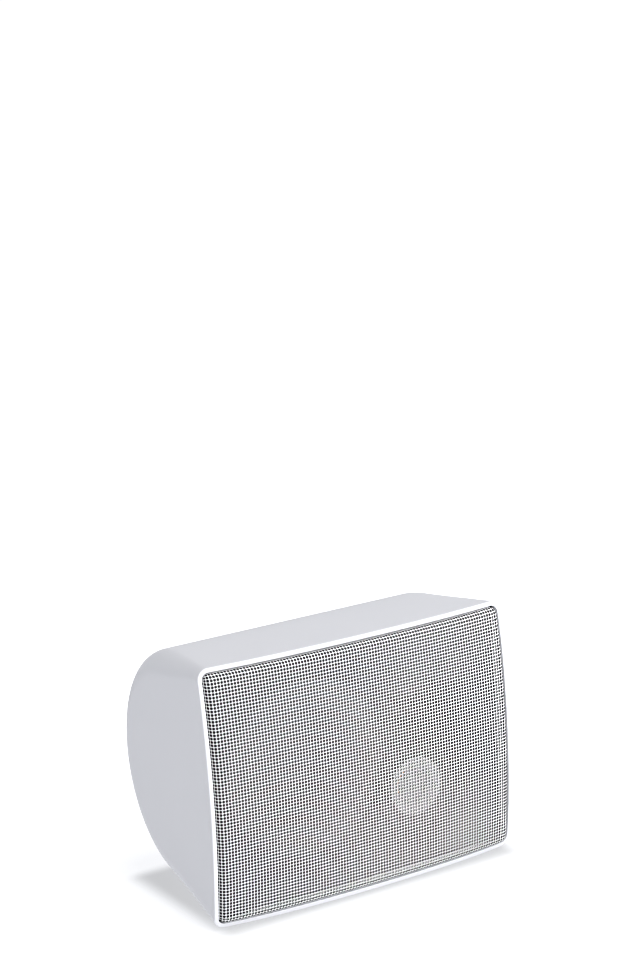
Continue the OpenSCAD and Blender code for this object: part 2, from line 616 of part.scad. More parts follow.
// Paper former with the winding at its back end, inside the magnet's gap
module voice_coil() color("#8a5a2c") placed() turned(woofer_x, woofer_z) rotate_extrude()
    polygon([[coil_r - 0.65, neck_d - 2], [neck_r - 0.01, neck_d - 2],
        [neck_r - 0.01, basket_plate_back - 2], [coil_r, basket_plate_back - 2],
        [coil_r, gap_plate_back + 2], [coil_r - 0.65, gap_plate_back + 2]]);
// Half roll with flat lips: the outer one lies on the frame's step, the inner one on the cone
roll_centre = cone_r + roll_r + 0.2;
roll_t = 0.7;
roll_steps_fine = 12;
lip_front = surround_ledge - roll_t;
module woofer_surround() color("#1d1d1f") placed() turned(woofer_x, woofer_z) rotate_extrude()
    polygon(concat(
        [[cone_r - 2.5, lip_front]],
        [for (i = [0:roll_steps_fine]) let (a = 180 * i / roll_steps_fine)
            [roll_centre - roll_r * cos(a), lip_front - roll_r * sin(a)]],
        [[surround_r - 0.1, lip_front], [surround_r - 0.1, surround_ledge - 0.02]],
        [for (i = [roll_steps_fine:-1:0]) let (a = 180 * i / roll_steps_fine)
            [roll_centre - (roll_r - roll_t) * cos(a), surround_ledge - 0.02
                - (roll_r - roll_t) * sin(a)]],
        [[cone_r - 2.5, surround_ledge - 0.02]]));
// Corrugated cloth disc from the former to the frame's ledge
spider_waves = 4;
spider_t = 0.5;
spider_steps = 48;
spider_in = neck_r + 0.25;
spider_flat = spider_r - 3.5;
function spider_d(r) = spider_ledge - spider_t - 0.02 - (r >= spider_flat ? 0
    : 1.1 * (1 - cos(360 * spider_waves * (spider_flat - r) / (spider_flat - spider_in))) / 2);
module woofer_spider() color("#b58a3c") placed() turned(woofer_x, woofer_z) rotate_extrude()
    polygon(concat(
        [for (i = [0:spider_steps]) let (r = mix(spider_in, spider_r - 0.1, i / spider_steps))
            [r, spider_d(r)]],
        [for (i = [spider_steps:-1:0]) let (r = mix(spider_in, spider_r - 0.1, i / spider_steps))
            [r, spider_d(r) + spider_t]]));

// The tweeter: a pale horn plate, a dome on a small surround and a neodymium motor
tweeter_body_r = 26;
tweeter_front = baffle_front - 2.5;
throat_d = tweeter_front + 5;
tweeter_back = throat_d + 3.5;
throat_r = dome_r + 1.4;
clamp_r = 17.5;
module tweeter_faceplate() color("#dcdde0") placed() turned(tweeter_x, tweeter_z) difference() {
    rotate_extrude() polygon(concat(
        [[tweeter_flange_r - 0.6, tweeter_front], [tweeter_flange_r, tweeter_front + 0.6],
            [tweeter_flange_r, baffle_front], [tweeter_body_r, baffle_front],
            [tweeter_body_r, tweeter_back], [clamp_r, tweeter_back],
            [clamp_r, throat_d + 1], [throat_r, throat_d + 0.6]],
        [for (i = [0:8]) let (t = i / 8) [mix(throat_r, horn_r, t),
            throat_d - (throat_d - tweeter_front) * (1 - pow(1 - t, 1.8))]]));
    for (a = [45:90:315]) rotate(a) translate([tweeter_screw_r, 0, tweeter_front - 1])
        cylinder(r = small_screw_r + play, h = 5);
}
dome_base = throat_d + 1.2;
module tweeter_dome() color("#e6e7ea") placed() turned(tweeter_x, tweeter_z) rotate_extrude()
    dome_section(dome_r, dome_h, 0.5, dome_base);
module tweeter_coil() color("#b9772f") placed() turned(tweeter_x, tweeter_z) rotate_extrude()
    translate([dome_r - 0.7, dome_base + 0.4]) square([0.6, 4.8]);
tweeter_roll_r = 1.2;
tweeter_lip = dome_base + 0.2;
module tweeter_surround() color("#c9cacd") placed() turned(tweeter_x, tweeter_z) rotate_extrude()
    polygon(concat(
        [for (i = [0:8]) let (a = 180 * i / 8) [dome_r + 0.4 + tweeter_roll_r * (1 - cos(a)),
            tweeter_lip - tweeter_roll_r * sin(a) * 0.6]],
        [[clamp_r - 0.2, tweeter_lip], [clamp_r - 0.2, tweeter_lip + 0.4]],
        [for (i = [8:-1:0]) let (a = 180 * i / 8) [dome_r + 0.4 + tweeter_roll_r * (1 - cos(a)),
            tweeter_lip + 0.4 - tweeter_roll_r * sin(a) * 0.6]]));
tweeter_plate_r = 22;
tweeter_plate_t = 2.5;
tweeter_magnet_back = tweeter_back + tweeter_plate_t + 5;
module tweeter_top_plate() color("#8d8f94") placed() turned(tweeter_x, tweeter_z)
    rotate_extrude() polygon([[dome_r + 0.4, tweeter_back],
        [clamp_r - 1.6, tweeter_back], [clamp_r - 1.6, tweeter_lip + 0.42],
        [clamp_r - 0.2, tweeter_lip + 0.42], [clamp_r - 0.2, tweeter_back],
        [tweeter_plate_r, tweeter_back], [tweeter_plate_r, tweeter_back + tweeter_plate_t],
        [dome_r + 0.4, tweeter_back + tweeter_plate_t]]);
module tweeter_magnet() color("#3b3b3d") ring_part(tweeter_x, tweeter_z,
    dome_r + 2.6, tweeter_plate_r - 2, tweeter_back + tweeter_plate_t, tweeter_magnet_back);
module tweeter_yoke() color("#8d8f94") placed() turned(tweeter_x, tweeter_z) rotate_extrude()
    polygon([[0, tweeter_back - 0.2], [dome_r - 1.2, tweeter_back - 0.2],
        [dome_r - 1.2, tweeter_magnet_back], [tweeter_plate_r - 2.5, tweeter_magnet_back],
        [tweeter_plate_r - 2.5, tweeter_magnet_back + 3], [0, tweeter_magnet_back + 3]]);
module tweeter_screws() color("#c4c5c9") placed() for (p = tweeter_screw_places)
    pan_screw(p[0], p[1], tweeter_front, small_screw_r, 9);

// The crossover hangs on posts behind the baffle, its parts standing on the board's back
board_front = ledge_d + post_len;
board_back = board_front + board_t;
module crossover_board() color("#2f6b3c") placed() difference() {
    translate([board_x, 0, board_z]) plate(board_front, board_back)
        square([board_w, board_h], center = true);
    for (p = board_post_places) bar(p[0], p[1], small_screw_r + play, board_front - 1,
        board_back + 1);
}
inductor_inner_r = 6;
inductor_outer_r = 13;
inductor_len = 14;
module crossover_inductor() color("#b4662d") ring_part(board_x - 16, board_z + 2,
    inductor_inner_r, inductor_outer_r, board_back, board_back + inductor_len);
cap_can_r = 6;
cap_len = 24;
cap_rows = [-17, -3];
module crossover_capacitors() color("#27476e") placed() for (z = cap_rows)
    translate([board_x + 2, board_back + cap_can_r, board_z + z]) rotate([0, 90, 0])
        cylinder(r = cap_can_r, h = cap_len);
resistor_size = [22, 9, 9];
module crossover_resistor() color("#e4e0d6") placed()
    translate([board_x + 3, board_back, board_z + 8]) cube(resistor_size);
module board_screws() color("#c4c5c9") placed() for (p = board_post_places)
    turned(p[0], p[1]) rotate_extrude() polygon([
        [0, board_back + head_h], [small_screw_r * 1.2, board_back + head_h],
        [small_screw_r + 1.6, board_back + head_h * 0.4], [small_screw_r + 1.6, board_back],
        [small_screw_r, board_back], [small_screw_r, board_back - 7], [0, board_back - 8]]);

// Terminal cup: a moulded box let into the pad, with two spring terminals on its floor.
// From here on the origin is the pad's middle, as in the finished frame.
cup_wall = 2;
cup_floor = 4;
block_w = cup_w - 6;
block_h = cup_h - 6;
block_t = 9;
block_face = -cup_depth + block_t;
lever_w = 14;
lever_t = 2.4;
lever_pivot = [-cup_depth + 7, 11.5];
lever_len = 13;
barrel_r = 1.9;
lever_pin_r = 0.8;
cavity_play = 0.5;
wire_hole_z = -8;
wire_hole_len = block_t - 1;
contact_w = 3.6;
contact_t = 0.8;
csk_depth = 1.4;
terminal_x = [-terminal_spacing / 2, terminal_spacing / 2];

// Plate in the pad's plane between two depths
module pad_plate(from, to) translate([0, to, 0]) rotate([90, 0, 0])
    linear_extrude(to - from) children();
module pad_bar(x, z, r, from, to) translate([x, from, z]) rotate([-90, 0, 0])
    cylinder(r = r, h = to - from);
// Bar along the width at [y, z]
module cross_bar(y, z, r, from, to) translate([from, y, z]) rotate([0, 90, 0])
    cylinder(r = r, h = to - from);
module csk_screw(x, z, r, len) translate([x, 0, z]) rotate([90, 0, 0]) rotate_extrude()
    polygon([[0, 0.1], [r + csk_depth - 0.1, 0.1], [r, csk_depth], [r, len - r], [0, len]]);

module terminal_gasket() color("#2a2a2c") difference() {
    pad_plate(-cup_flange_t - gasket_t, -cup_flange_t) difference() {
        rounded_rect(cup_flange_w, cup_flange_h, cup_corner_r);
        rounded_rect(cup_w + 2 * play, cup_h + 2 * play, cup_corner_r);
    }
    for (p = cup_screw_places) pad_bar(p[0], p[1], small_screw_r + play,
        -cup_flange_t - gasket_t - 1, 0);
}
module contact_slots() for (x = terminal_x)
    translate([x - contact_w / 2 - pin_play, -cup_depth - cup_floor - 1,
        wire_hole_z - 1.4 - pin_play])
        cube([contact_w + 2 * pin_play, cup_floor + 2.2, contact_t + 2 * pin_play]);
module terminal_cup() color("#1b1b1d") difference() {
    union() {
        pad_plate(-cup_flange_t, 0) rounded_rect(cup_flange_w, cup_flange_h, cup_corner_r);
        pad_plate(-cup_depth - cup_floor, -cup_flange_t / 2)
            rounded_rect(cup_w, cup_h, cup_corner_r);
    }
    pad_plate(-cup_depth, 1) rounded_rect(cup_w - 2 * cup_wall, cup_h - 2 * cup_wall,
        cup_corner_r - cup_wall / 2);
    for (p = cup_screw_places) translate([p[0], 0, p[1]]) rotate([90, 0, 0]) rotate_extrude()
        polygon([[0, -1], [small_screw_r + csk_depth + 1, -1], [small_screw_r + play,
            csk_depth + play], [small_screw_r + play, cup_flange_t + 1],
            [0, cup_flange_t + 1]]);
    contact_slots();
}
// The block that carries the levers and the wire holes stands on the cup's floor
module terminal_block() color("#1b1b1d") difference() {
    pad_plate(-cup_depth, block_face) square([block_w, block_h], center = true);
    for (x = terminal_x) {
        pad_bar(x, wire_hole_z, wire_hole_r, block_face - wire_hole_len, block_face + 1);
        translate([x - lever_w / 2 - cavity_play, -cup_depth + cavity_play,
            lever_pivot[1] - lever_len - cavity_play])
            cube([lever_w + 2 * cavity_play, block_t, lever_len + barrel_r + 3 * cavity_play]);
        cross_bar(lever_pivot[0], lever_pivot[1], lever_pin_r, x - lever_w / 2 - 2.3,
            x + lever_w / 2 + 2.3);
    }
    contact_slots();
}
module terminal_screws() color("#303034") for (p = cup_screw_places)
    csk_screw(p[0], p[1], small_screw_r, cup_screw_len);
// Push lever: a barrel on its pin, a plate and a ribbed thumb pad at the free end
module lever(x) difference() {
    union() {
        cross_bar(lever_pivot[0], lever_pivot[1], barrel_r, x - lever_w / 2, x + lever_w / 2);
        translate([x - lever_w / 2, lever_pivot[0] - lever_t / 2, lever_pivot[1] - lever_len])
            cube([lever_w, lever_t, lever_len]);
        for (k = [0:2]) cross_bar(lever_pivot[0] + lever_t / 2, lever_pivot[1] - lever_len + 1.4
            + 2.2 * k, 1, x - lever_w / 2 + 1, x + lever_w / 2 - 1);
    }
    cross_bar(lever_pivot[0], lever_pivot[1], lever_pin_r + pin_play, x - lever_w, x + lever_w);
}
module terminal_lever_red() color("#b3222a") lever(terminal_x[1]);
module terminal_lever_black() color("#28282a") lever(terminal_x[0]);
module lever_pins() color("#b9bbc0") for (x = terminal_x) cross_bar(lever_pivot[0],
    lever_pivot[1], lever_pin_r, x - lever_w / 2 - 2.3, x + lever_w / 2 + 2.3);
contact_tail = 8;
module terminal_contacts() color("#c9b26a") for (x = terminal_x)
    translate([x - contact_w / 2, -cup_depth - cup_floor - contact_tail, wire_hole_z - 1.4])
        cube([contact_w, contact_tail + cup_floor + 1, contact_t]);

// Wires: round tubes swept along hand-chosen points, smoothed between them
wire_sides = 6;
wire_steps = 3;
// Point at a depth and height of the front, in the frame at the pad
function front_at(x, d, z) = [x, d - pad_face_d, z - back_line_z];
// The wires end on the board's back, on the tweeter's plate and at the terminal tags. Their
// points between the ends are shares of the way, with chosen offsets; side is 1 or -1.
solder_gap = 0.3;
tag_gap = 0.5;
joint_d = board_back + solder_gap;
tag_end_d = spider_ledge + strip_len + tag_len + tag_gap;
plate_end_d = tweeter_back + tweeter_plate_t + solder_gap;
function input_route(side) = let (
        a = [side * terminal_x[1], -cup_depth - cup_floor - contact_tail - tag_gap,
            wire_hole_z - 1.4 + contact_t / 2],
        b = front_at(board_x - 21 + 3 * side, joint_d, board_z - 20))
    [a, a + [0, -9.5, 0], mix(a, b, 0.375) + [-3.3 - 1.9 * side, 0, -1.3 - 0.4 * side],
        mix(a, b, 0.67) + [0.95 - 1.55 * side, 0, 3.8 - 0.7 * side], b + [0, 11, 0], b];
function woofer_route(side) = let (
        a = front_at(strip_x + 0.8, tag_end_d, woofer_z + side * tag_offset),
        b = front_at(board_x - board_w / 2 + 2.5, joint_d, board_z - 9 + 3 * side))
    [a, a + [3.6, 3.6, 0], mix(a, b, 0.23) + [0, 13, 0.4 * side - 3.6],
        mix(a, b, 0.555) + [0, 15.6 + side, -1.8], mix(a, b, 0.85) + [0, 13 + side, 1],
        b + [0, 8, 0], b];
function tweeter_route(side) = let (
        a = front_at(board_x - 7 - 3 * side, joint_d, board_z - 22),
        b = front_at(tweeter_x + 7 * side, plate_end_d, tweeter_z + 19.8))
    [a, a + [0, 6.5 - side, 0], mix(a, b, 0.31) + [4.1 - 2.4 * side, 9.8 - 2.8 * side, 0],
        mix(a, b, 0.67) + [2.6 - 2 * side, 9.9 - 3.1 * side, 0],
        b + [1 - side, 8.3 - 2 * side, 3 - side], b];
function spline(a, b, c, d, t) = 0.5 * (2 * b + (c - a) * t + (2 * a - 5 * b + 4 * c - d) * t * t
    + (3 * b - a - 3 * c + d) * t * t * t);
function smooth_route(p) = concat(
    [for (i = [0:len(p) - 2]) for (k = [0:wire_steps - 1])
        spline(p[max(i - 1, 0)], p[i], p[i + 1], p[min(i + 2, len(p) - 1)], k / wire_steps)],
    [p[len(p) - 1]]);
function unit(v) = v / norm(v);
module wire(route, r) {
    p = smooth_route(route);
    n = len(p);
    polyhedron(
        points = [for (i = [0:n - 1]) let (
                t = unit(p[min(i + 1, n - 1)] - p[max(i - 1, 0)]),
                u = unit(cross(t, abs(t[2]) < 0.9 ? [0, 0, 1] : [1, 0, 0])), w = cross(t, u))
            for (k = [0:wire_sides - 1]) let (a = 360 * k / wire_sides)
                p[i] + r * (cos(a) * u + sin(a) * w)],
        faces = concat([[for (k = [0:wire_sides - 1]) k]],
            [for (f = skin_faces(n, wire_sides)) [f[0], f[2], f[1]]],
            [[for (k = [wire_sides - 1:-1:0]) (n - 1) * wire_sides + k]]));
}
module input_wires() color("#a33a34") {
    for (side = [-1, 1]) wire(input_route(side), 1.1);
}
module woofer_wires() color("#3f5f9a") {
    for (side = [-1, 1]) wire(woofer_route(side), 0.9);
}
module tweeter_wires() color("#c9c9cc") {
    for (side = [-1, 1]) wire(tweeter_route(side), 0.7);
}

cabinet_shell();
rear_pad();
wall_inserts();
grille();
baffle();
baffle_screws();
woofer_gasket();
woofer_basket();
woofer_screws();
woofer_top_plate();
woofer_magnet();
woofer_yoke();
woofer_terminal();
woofer_cone();
woofer_dust_cap();
voice_coil();
woofer_surround();
woofer_spider();
tweeter_faceplate();
tweeter_dome();
tweeter_coil();
tweeter_surround();
tweeter_top_plate();
tweeter_magnet();
tweeter_yoke();
tweeter_screws();
crossover_board();
crossover_inductor();
crossover_capacitors();
crossover_resistor();
board_screws();
terminal_gasket();
terminal_cup();
terminal_block();
terminal_screws();
terminal_lever_red();
terminal_lever_black();
lever_pins();
terminal_contacts();
input_wires();
woofer_wires();
tweeter_wires();
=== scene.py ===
import bmesh
import bpy
import numpy as np
from mathutils import Matrix, Vector


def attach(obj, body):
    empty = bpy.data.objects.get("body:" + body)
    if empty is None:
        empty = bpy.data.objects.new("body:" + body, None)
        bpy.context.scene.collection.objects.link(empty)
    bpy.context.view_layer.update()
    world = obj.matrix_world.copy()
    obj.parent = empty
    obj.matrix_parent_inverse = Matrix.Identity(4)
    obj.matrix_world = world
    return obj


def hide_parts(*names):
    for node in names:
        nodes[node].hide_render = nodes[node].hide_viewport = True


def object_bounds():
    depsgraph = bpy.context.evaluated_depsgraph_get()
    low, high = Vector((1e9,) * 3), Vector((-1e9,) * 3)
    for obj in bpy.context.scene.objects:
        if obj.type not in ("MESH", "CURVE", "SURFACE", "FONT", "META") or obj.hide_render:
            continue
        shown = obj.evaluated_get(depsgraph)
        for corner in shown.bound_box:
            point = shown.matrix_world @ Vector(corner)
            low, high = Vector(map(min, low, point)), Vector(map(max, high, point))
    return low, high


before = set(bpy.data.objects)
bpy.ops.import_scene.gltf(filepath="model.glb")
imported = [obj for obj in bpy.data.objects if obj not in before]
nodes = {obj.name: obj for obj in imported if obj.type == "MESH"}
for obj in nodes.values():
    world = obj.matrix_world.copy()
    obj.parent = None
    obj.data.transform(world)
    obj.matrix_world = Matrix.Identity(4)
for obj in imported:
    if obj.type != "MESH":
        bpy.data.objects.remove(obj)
cad_low, cad_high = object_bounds()
MM = 0.001

# Cabinet: one hollow moulding in satin off-white plastic, D-shaped from the side, with a
# rim that flares round the grille and a curved back. It comes out of the mould with a fine
# spark-eroded grain, and everything else is screwed, glued or pressed into it.
front_w = 266.0
front_h = 200.0
body_depth = 173.0
wall = 3.0
side_taper = 0.08
top_slope = 0.091
bottom_slope = np.tan(np.radians(8.8))
back_line_z = 0.8
rim_corner_r = 9.0
back_edge_r = 17.0
rim_flare = 1.2
flare_len = (4.0, 12.0)
bow_across = 4.3
bow_up = 3.5
bow_corner = 4.5
bow_fade = 60.0
rim_set_back = 3.8
rim_w = 3.5
pad_face_d = body_depth + 1.0
edge_d = 10.0
edge_blend = 6.0
ledge_d = 23.5
ledge_w = 14.0
half_w = front_w / 2
half_h = front_h / 2
upper_r = (half_h - back_line_z - top_slope * (body_depth - edge_d)) / (
    np.hypot(1, top_slope) - top_slope
)
lower_r = (half_h + back_line_z - bottom_slope * (body_depth - edge_d)) / (
    np.hypot(1, bottom_slope) - bottom_slope
)


def eased(t):
    """Smooth step: 0 below 0, 1 above 1, and 3t^2 - 2t^3 between them."""
    c = np.clip(t, 0, 1)
    return c * c * (3 - 2 * c)


def bow_fall(x, z):
    """Fall of the bowed front behind its crown: a rise of mixed second and fourth powers of
    the distance across and up, plus a term of both that drops the corners."""
    a = (x / half_w) ** 2
    b = (z / half_h) ** 2
    across = bow_across * (0.47 * a + 0.53 * a * a)
    up = bow_up * (0.73 * b + 0.27 * b * b)
    return across + up + bow_corner * a * b


def long_edge(d, upper):
    """Side-view line of the top or bottom face at depth d: level at the rim, eased into a
    straight slope, then an arc that meets the other face on the rearmost line. Returns the
    height and the inward normal in depth and height."""
    slope = top_slope if upper else bottom_slope
    radius = upper_r if upper else lower_r
    sign = 1 if upper else -1
    sine = np.clip((d - body_depth + radius) / radius, -1, 1)
    angle = np.arcsin(sine)
    run = np.clip(d - edge_d + edge_blend, 0, 2 * edge_blend)
    drop = slope * (run**2 / (4 * edge_blend) + np.maximum(d - edge_d - edge_blend, 0))
    lean = slope * run / (2 * edge_blend)
    on_arc = sine > np.sin(np.arctan(slope))
    height = np.where(on_arc, sign * back_line_z + radius * np.cos(angle), half_h - drop)
    length = np.hypot(1, lean)
    normal_d = np.where(on_arc, -np.sin(angle), -lean / length)
    normal_z = np.where(on_arc, -np.cos(angle), -1 / length)
    return sign * height, normal_d, sign * normal_z


def side_line(d, z):
    """Half width at depth d and height z: drawn in by the mould's taper, and set in behind
    the rim by an eased step that is longer at the top than at the bottom."""
    share = np.clip(z / front_h + 0.5, 0, 1)
    run = flare_len[0] + (flare_len[1] - flare_len[0]) * share
    start = rim_set_back + bow_fall(half_w, z)
    return half_w - side_taper * np.maximum(d - edge_d, 0) - rim_flare * eased((d - start) / run)


def cabinet_rings(depth, inset, flat, counts):
    """Rings round the cabinet, one row each: four quarter-round corners of a radius that
    grows with depth, joined by the crowned top and bottom and the two sides. Each point is
    set in along the face's normal, and pushed back by the bow, which fades behind the rim."""
    top_n, side_n, corner_n = counts
    d = np.asarray(depth, float)[:, None]
    s = np.asarray(inset, float)[:, None]
    bowed = 1.0 - np.asarray(flat, float)[:, None]
    grow = eased(d / (0.6 * body_depth))
    r = np.maximum(rim_corner_r + (back_edge_r - rim_corner_r) * grow - s, 1.0)
    fade = bowed * (1 - eased((d - rim_set_back) / bow_fade))
    turn = np.radians(np.linspace(0, 90, corner_n + 1))[None, :]

    def corner(phi, side, upper):
        """One corner: a quarter round in the two insets, laid on the faces it joins."""
        in_x = s + r * (1 - np.sin(phi))
        reach = s + r * (1 - np.cos(phi))
        at = d + fade * bow_fall(half_w - in_x, half_h - reach)
        z, nd, nz = long_edge(at, upper)
        pd = at + nd * reach
        pz = z + nz * reach
        pd_kept = np.where(bowed > 0, pd, d)
        return np.stack([side * (side_line(pd, pz) - in_x), pd_kept, pz], -1)

    def span(a, b, upper):
        """The top or bottom between two corners: even steps across, each on the bow."""
        t = np.linspace(0, 1, top_n + 1)[None, 1:-1]
        x = a[:, -1:, 0] * (1 - t) + b[:, :1, 0] * t
        at = d + fade * bow_fall(x, half_h - s)
        z, nd, nz = long_edge(at, upper)
        pd = np.where(bowed > 0, at + nd * s, d)
        return np.stack([x, pd, z + nz * s], -1)

    def flank(a, b):
        """A side between two corners: even steps up, each on the bow and the flare."""
        t = np.linspace(0, 1, side_n + 1)[None, 1:-1]
        z = a[:, -1:, 2] * (1 - t) + b[:, :1, 2] * t
        even = a[:, -1:, 1] * (1 - t) + b[:, :1, 1] * t
        ends = bow_fall(half_w - s, half_h - s - r)
        pd = even - fade * (ends - bow_fall(half_w - s, z))
        return np.stack([np.sign(a[:, -1:, 0]) * (side_line(pd, z) - s), pd, z], -1)

    tl = corner(turn[:, ::-1], -1, True)
    tr = corner(turn, 1, True)
    br = corner(turn[:, ::-1], 1, False)
    bl = corner(turn, -1, False)
    parts = [tl, span(tl, tr, True), tr, flank(tr, br), br, span(br, bl, False), bl, flank(bl, tl)]
    return np.concatenate(parts, 1)


def in_frame(points):
    """Points in millimetres as width, depth behind the crown and height above the front's
    middle, moved into the frame at the rear pad and into metres."""
    p = np.asarray(points, float).reshape(-1, 3)
    return (p - [0, pad_face_d, back_line_z]) * MM


def piece_from(name, points, faces, body, material, slot, sharp_deg=38, second=None, painted=None):
    """Makes a piece from whole arrays of points in metres and faces: doubles are merged,
    edges sharper than the angle stay crisp, and the piece rides on its body. painted marks
    the faces that take the second material."""
    mesh = bpy.data.meshes.new(name)
    mesh.from_pydata(np.asarray(points).tolist(), [], faces)
    if painted is not None:
        mesh.polygons.foreach_set("material_index", np.asarray(painted, np.int32))
    built = bmesh.new()
    built.from_mesh(mesh)
    bmesh.ops.remove_doubles(built, verts=built.verts, dist=1e-6)
    if built.calc_volume(signed=True) < 0:
        bmesh.ops.reverse_faces(built, faces=built.faces)
    built.to_mesh(mesh)
    built.free()
    mesh.polygons.foreach_set("use_smooth", np.ones(len(mesh.polygons), bool))
    mesh.set_sharp_from_angle(angle=np.radians(sharp_deg))
    mesh.materials.append(material)
    if second is not None:
        mesh.materials.append(second)
    piece = bpy.data.objects.new(name, mesh)
    bpy.context.scene.collection.objects.link(piece)
    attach(piece, body)
    return piece


def ramp(tree, value, start, end, low, high):
    """Straight ramp of a value: low at the start and before it, high at the end and past it."""
    node = tree.nodes.new("ShaderNodeMapRange")
    sizes = {"From Min": start, "From Max": end, "To Min": low, "To Max": high}
    for socket, size in sizes.items():
        node.inputs[socket].default_value = size
    tree.links.new(value, node.inputs["Value"])
    return node


def finish(name, colour, rough, grain_mm, relief_mm, tint=0.03, metal=0.0, stretch=(1, 1, 1),
           coat=0.0, cloud_mm=60.0, specular=0.5):
    """A surface finish: fine noise at the grain's size drives bump and roughness, and a broad
    cloud of noise shifts the colour by the tint. Both read Object coordinates."""
    material = bpy.data.materials.new(name)
    material.use_nodes = True
    tree = material.node_tree
    shader = tree.nodes["Principled BSDF"]
    shader.inputs["Metallic"].default_value = metal
    shader.inputs["Coat Weight"].default_value = coat
    shader.inputs["Specular IOR Level"].default_value = specular
    place = tree.nodes.new("ShaderNodeTexCoord")
    pull = tree.nodes.new("ShaderNodeMapping")
    pull.inputs["Scale"].default_value = stretch
    tree.links.new(place.outputs["Object"], pull.inputs["Vector"])
    grain = tree.nodes.new("ShaderNodeTexNoise")
    grain.inputs["Scale"].default_value = 1 / (grain_mm * MM)
    grain.inputs["Detail"].default_value = 3.0
    cloud = tree.nodes.new("ShaderNodeTexNoise")
    cloud.inputs["Scale"].default_value = 1 / (cloud_mm * MM)
    cloud.inputs["Detail"].default_value = 4.0
    for texture in (grain, cloud):
        tree.links.new(pull.outputs["Vector"], texture.inputs["Vector"])
    spread = ramp(tree, grain.outputs["Fac"], 0.3, 0.7, *rough)
    tree.links.new(spread.outputs["Result"], shader.inputs["Roughness"])
    shade = tree.nodes.new("ShaderNodeMix")
    shade.data_type = "RGBA"
    shade.inputs["A"].default_value = (*[c * (1 - tint) for c in colour], 1)
    shade.inputs["B"].default_value = (*[min(c * (1 + tint), 1) for c in colour], 1)
    tree.links.new(cloud.outputs["Fac"], shade.inputs["Factor"])
    tree.links.new(shade.outputs["Result"], shader.inputs["Base Color"])
    bump = tree.nodes.new("ShaderNodeBump")
    bump.inputs["Strength"].default_value = 1.0
    bump.inputs["Distance"].default_value = relief_mm * MM
    tree.links.new(grain.outputs["Fac"], bump.inputs["Height"])
    tree.links.new(bump.outputs["Normal"], shader.inputs["Normal"])
    return material


cabinet_plastic = finish("cabinet_plastic", (0.73, 0.735, 0.772), (0.46, 0.58), 0.6, 0.012,
                         tint=0.012, specular=0.4)
ring_counts = (96, 72, 16)
ring_n = 2 * ring_counts[0] + 2 * ring_counts[1] + 4 * ring_counts[2]
small_r = min(upper_r, lower_r)
arc_angles = np.radians(np.linspace(12, 90, 40))
arc_depths = body_depth - small_r * (1 - np.sin(arc_angles))
ledge_run = ledge_d + ledge_w - wall
middle_depths = np.linspace(ledge_run, arc_depths[0], 12)[:-1]
lip_r = 0.8
lip_turn = np.radians(np.linspace(0, 90, 5))
flare_steps = np.array([1.1, 1.8, 2.8, 4, 5.5, 7, 8.5, 10, 12, 14, 17, 20, 24, 28])
outer_depths = np.concatenate([rim_set_back + flare_steps, middle_depths, arc_depths])[::-1]
inner_depths = np.concatenate([middle_depths, arc_depths])
lip_depths = rim_set_back + lip_r * (1 - np.sin(lip_turn))
lip_insets = lip_r * (1 - np.cos(lip_turn))
mouth_r = 0.5
mouth_depths = rim_set_back + mouth_r * (1 - np.cos(lip_turn))
mouth_insets = rim_w - mouth_r * (1 - np.sin(lip_turn))
skin_depth = np.concatenate([outer_depths, lip_depths, mouth_depths,
                             [rim_set_back, ledge_d], inner_depths])
skin_inset = np.concatenate([np.zeros(len(outer_depths)), lip_insets, mouth_insets,
                             [rim_w, ledge_w], np.full(len(inner_depths), wall)])
skin_flat = np.zeros(len(skin_depth))
pocket_row = len(outer_depths) + len(lip_depths) + len(mouth_depths)
skin_flat[pocket_row:pocket_row + 2] = 1
skin_rings = cabinet_rings(skin_depth, skin_inset, skin_flat, ring_counts)
skin_rings[pocket_row, :, 1] = ledge_d

# The back is open behind the pad, for the terminal cup and the two inserts: the same cells
# are left out of the outer and the inner skin, and their edges are walled.
insert_spacing = 92.0
insert_gap_half = 6.5
cup_gap_half = (32.5, 26.5)
rows = len(skin_depth)
index = np.arange(rows * ring_n).reshape(rows, ring_n)
ahead = np.roll(index, -1, axis=1)
cells = np.stack([index[:-1], ahead[:-1], ahead[1:], index[1:]], -1)
back_rows = len(arc_depths) - 1
centre = (skin_rings[:-1] + np.roll(skin_rings, -1, axis=1)[1:])[:back_rows] / 2
off_x = np.abs(centre[..., 0])
off_z = np.abs(centre[..., 2] - back_line_z)
cup_gap = (off_x < cup_gap_half[0]) & (off_z < cup_gap_half[1])
insert_gap = (np.abs(off_x - insert_spacing / 2) < insert_gap_half) & (off_z < insert_gap_half)
gap = cup_gap | insert_gap
keep = np.ones((rows - 1, ring_n), bool)
keep[:back_rows] = ~gap
keep[rows - 1 - back_rows:] = ~gap[::-1]
mirror_index = index[::-1]
next_gap = np.zeros_like(gap)
next_gap[:-1] = gap[1:]
right_edge = gap & ~np.roll(gap, -1, axis=1)
left_edge = gap & ~np.roll(gap, 1, axis=1)
far_edge = gap & ~next_gap


def gap_wall(mask, first, second):
    """Quads along the masked cells' edge, from the outer skin to the same points inside."""
    j, i = np.nonzero(mask)
    a = (j + first[0], (i + first[1]) % ring_n)
    b = (j + second[0], (i + second[1]) % ring_n)
    return np.stack([index[a], index[b], mirror_index[b], mirror_index[a]], -1)


skin_faces = np.concatenate([
    cells[keep],
    gap_wall(right_edge, (0, 1), (1, 1)),
    gap_wall(left_edge, (1, 0), (0, 0)),
    gap_wall(far_edge, (1, 1), (1, 0)),
])
cabinet = piece_from("cabinet_skin", in_frame(skin_rings), skin_faces.tolist(), "cabinet",
                     cabinet_plastic, "cabinet_white")
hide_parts("cabinet_shell")

